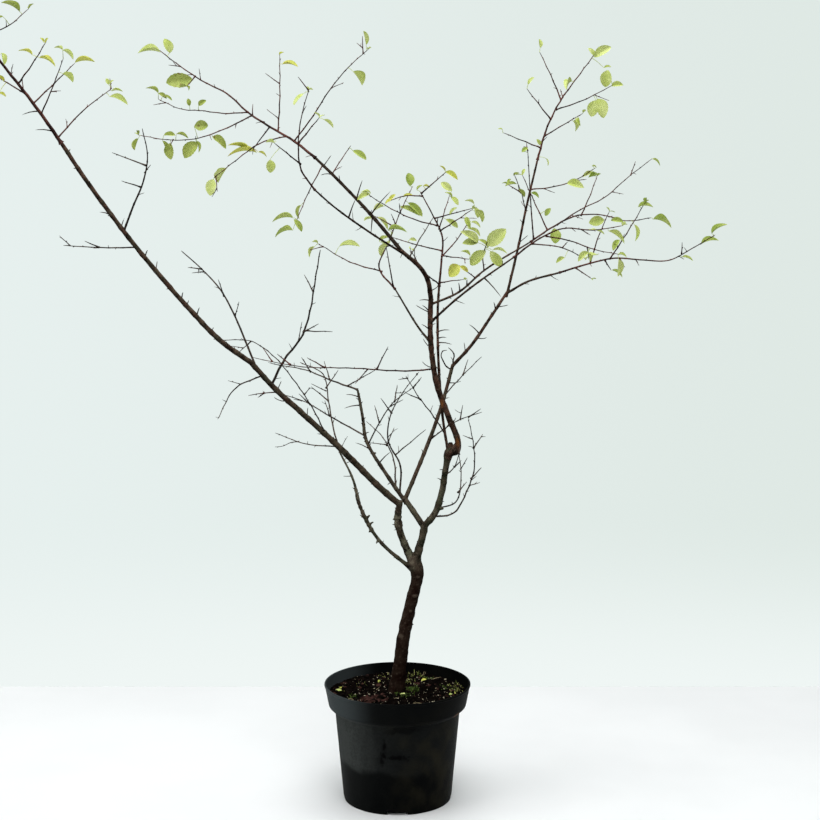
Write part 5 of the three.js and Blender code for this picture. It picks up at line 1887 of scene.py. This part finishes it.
# The floor's half width and its front edge, in metres
FLOOR_HALF_WIDTH = 3
FLOOR_FRONT = -4
# The lights: where each stands and how wide it is, in metres, and its power in watts
LIGHTS = {
    "window": ((-2.5, -0.9, 2.2), 2.8, 42),
    "ceiling": ((0.1, -0.1, 3.2), 2.8, 92),
    "front": ((0.5, -2.8, 2.8), 2.6, 50),
}
# What the lights are turned to, in metres
LIT = Vector((0, 0, 0.5))


def studio_world():
    """A pale backdrop, of which only the side behind the plant sheds light: the room in front is dim."""
    world = bpy.data.worlds.new("studio")
    bpy.context.scene.world = world
    world.use_nodes = True
    nodes = Nodes(world.node_tree, "Generated")
    wall = nodes.mix(nodes.spread(nodes.along("X"), -0.3, 0.3), WALL_LEFT, WALL_RIGHT)
    wall = nodes.mix(nodes.spread(nodes.along("Z"), -0.2, -0.3), wall, WALL_LOW)
    shed = nodes.mix(nodes.spread(nodes.along("Y"), 0, 0.6), ROOM, nodes.mix(WALL_DIMMED, wall, (0, 0, 0)))
    seen = nodes.node("LightPath", {}).outputs["Is Camera Ray"]
    nodes.link(nodes.mix(seen, shed, wall), nodes.tree.nodes["Background"].inputs["Color"])


def stage():
    """A pale floor, soft studio light and the camera."""
    left, right, front, back = -FLOOR_HALF_WIDTH, FLOOR_HALF_WIDTH, FLOOR_FRONT, FLOOR_BACK * MM
    corners = [(left, front), (right, front), (right, back), (left, back)]
    floor = bpy.data.meshes.new("floor")
    floor.from_pydata([(x, y, 0) for x, y in corners], [], [(0, 1, 2, 3)])
    look = Look("pale_floor", FLOOR_COLOURS[0], 0.3)
    look.coat(look.noise(2.5), FLOOR_COLOURS[1])
    floor.materials.append(look.finish(0.5))
    linked("floor", floor)

    studio_world()
    for name, (place, size, power) in LIGHTS.items():
        light = bpy.data.lights.new(name, "AREA")
        light.size = size
        light.energy = power
        lamp = linked(name, light)
        lamp.location = place
        lamp.rotation_euler = (LIT - Vector(place)).to_track_quat("-Z", "Y").to_euler()

    camera = bpy.data.cameras.new("camera")
    camera.lens = CAMERA_LENS
    camera.sensor_width = CAMERA_SENSOR
    eye = linked("camera", camera)
    eye.location = Vector(CAMERA_PLACE) * MM
    eye.rotation_euler = (math.radians(90 - CAMERA_DOWN), 0, 0)
    bpy.context.scene.camera = eye
    bpy.context.scene.view_settings.view_transform = "Standard"


stage()
dress_pot()
dress_soil()
limb_shapes = limb_lines()
dress_bark(limb_shapes)
dress_spurs(limb_shapes)
dress_masses(grow_all())
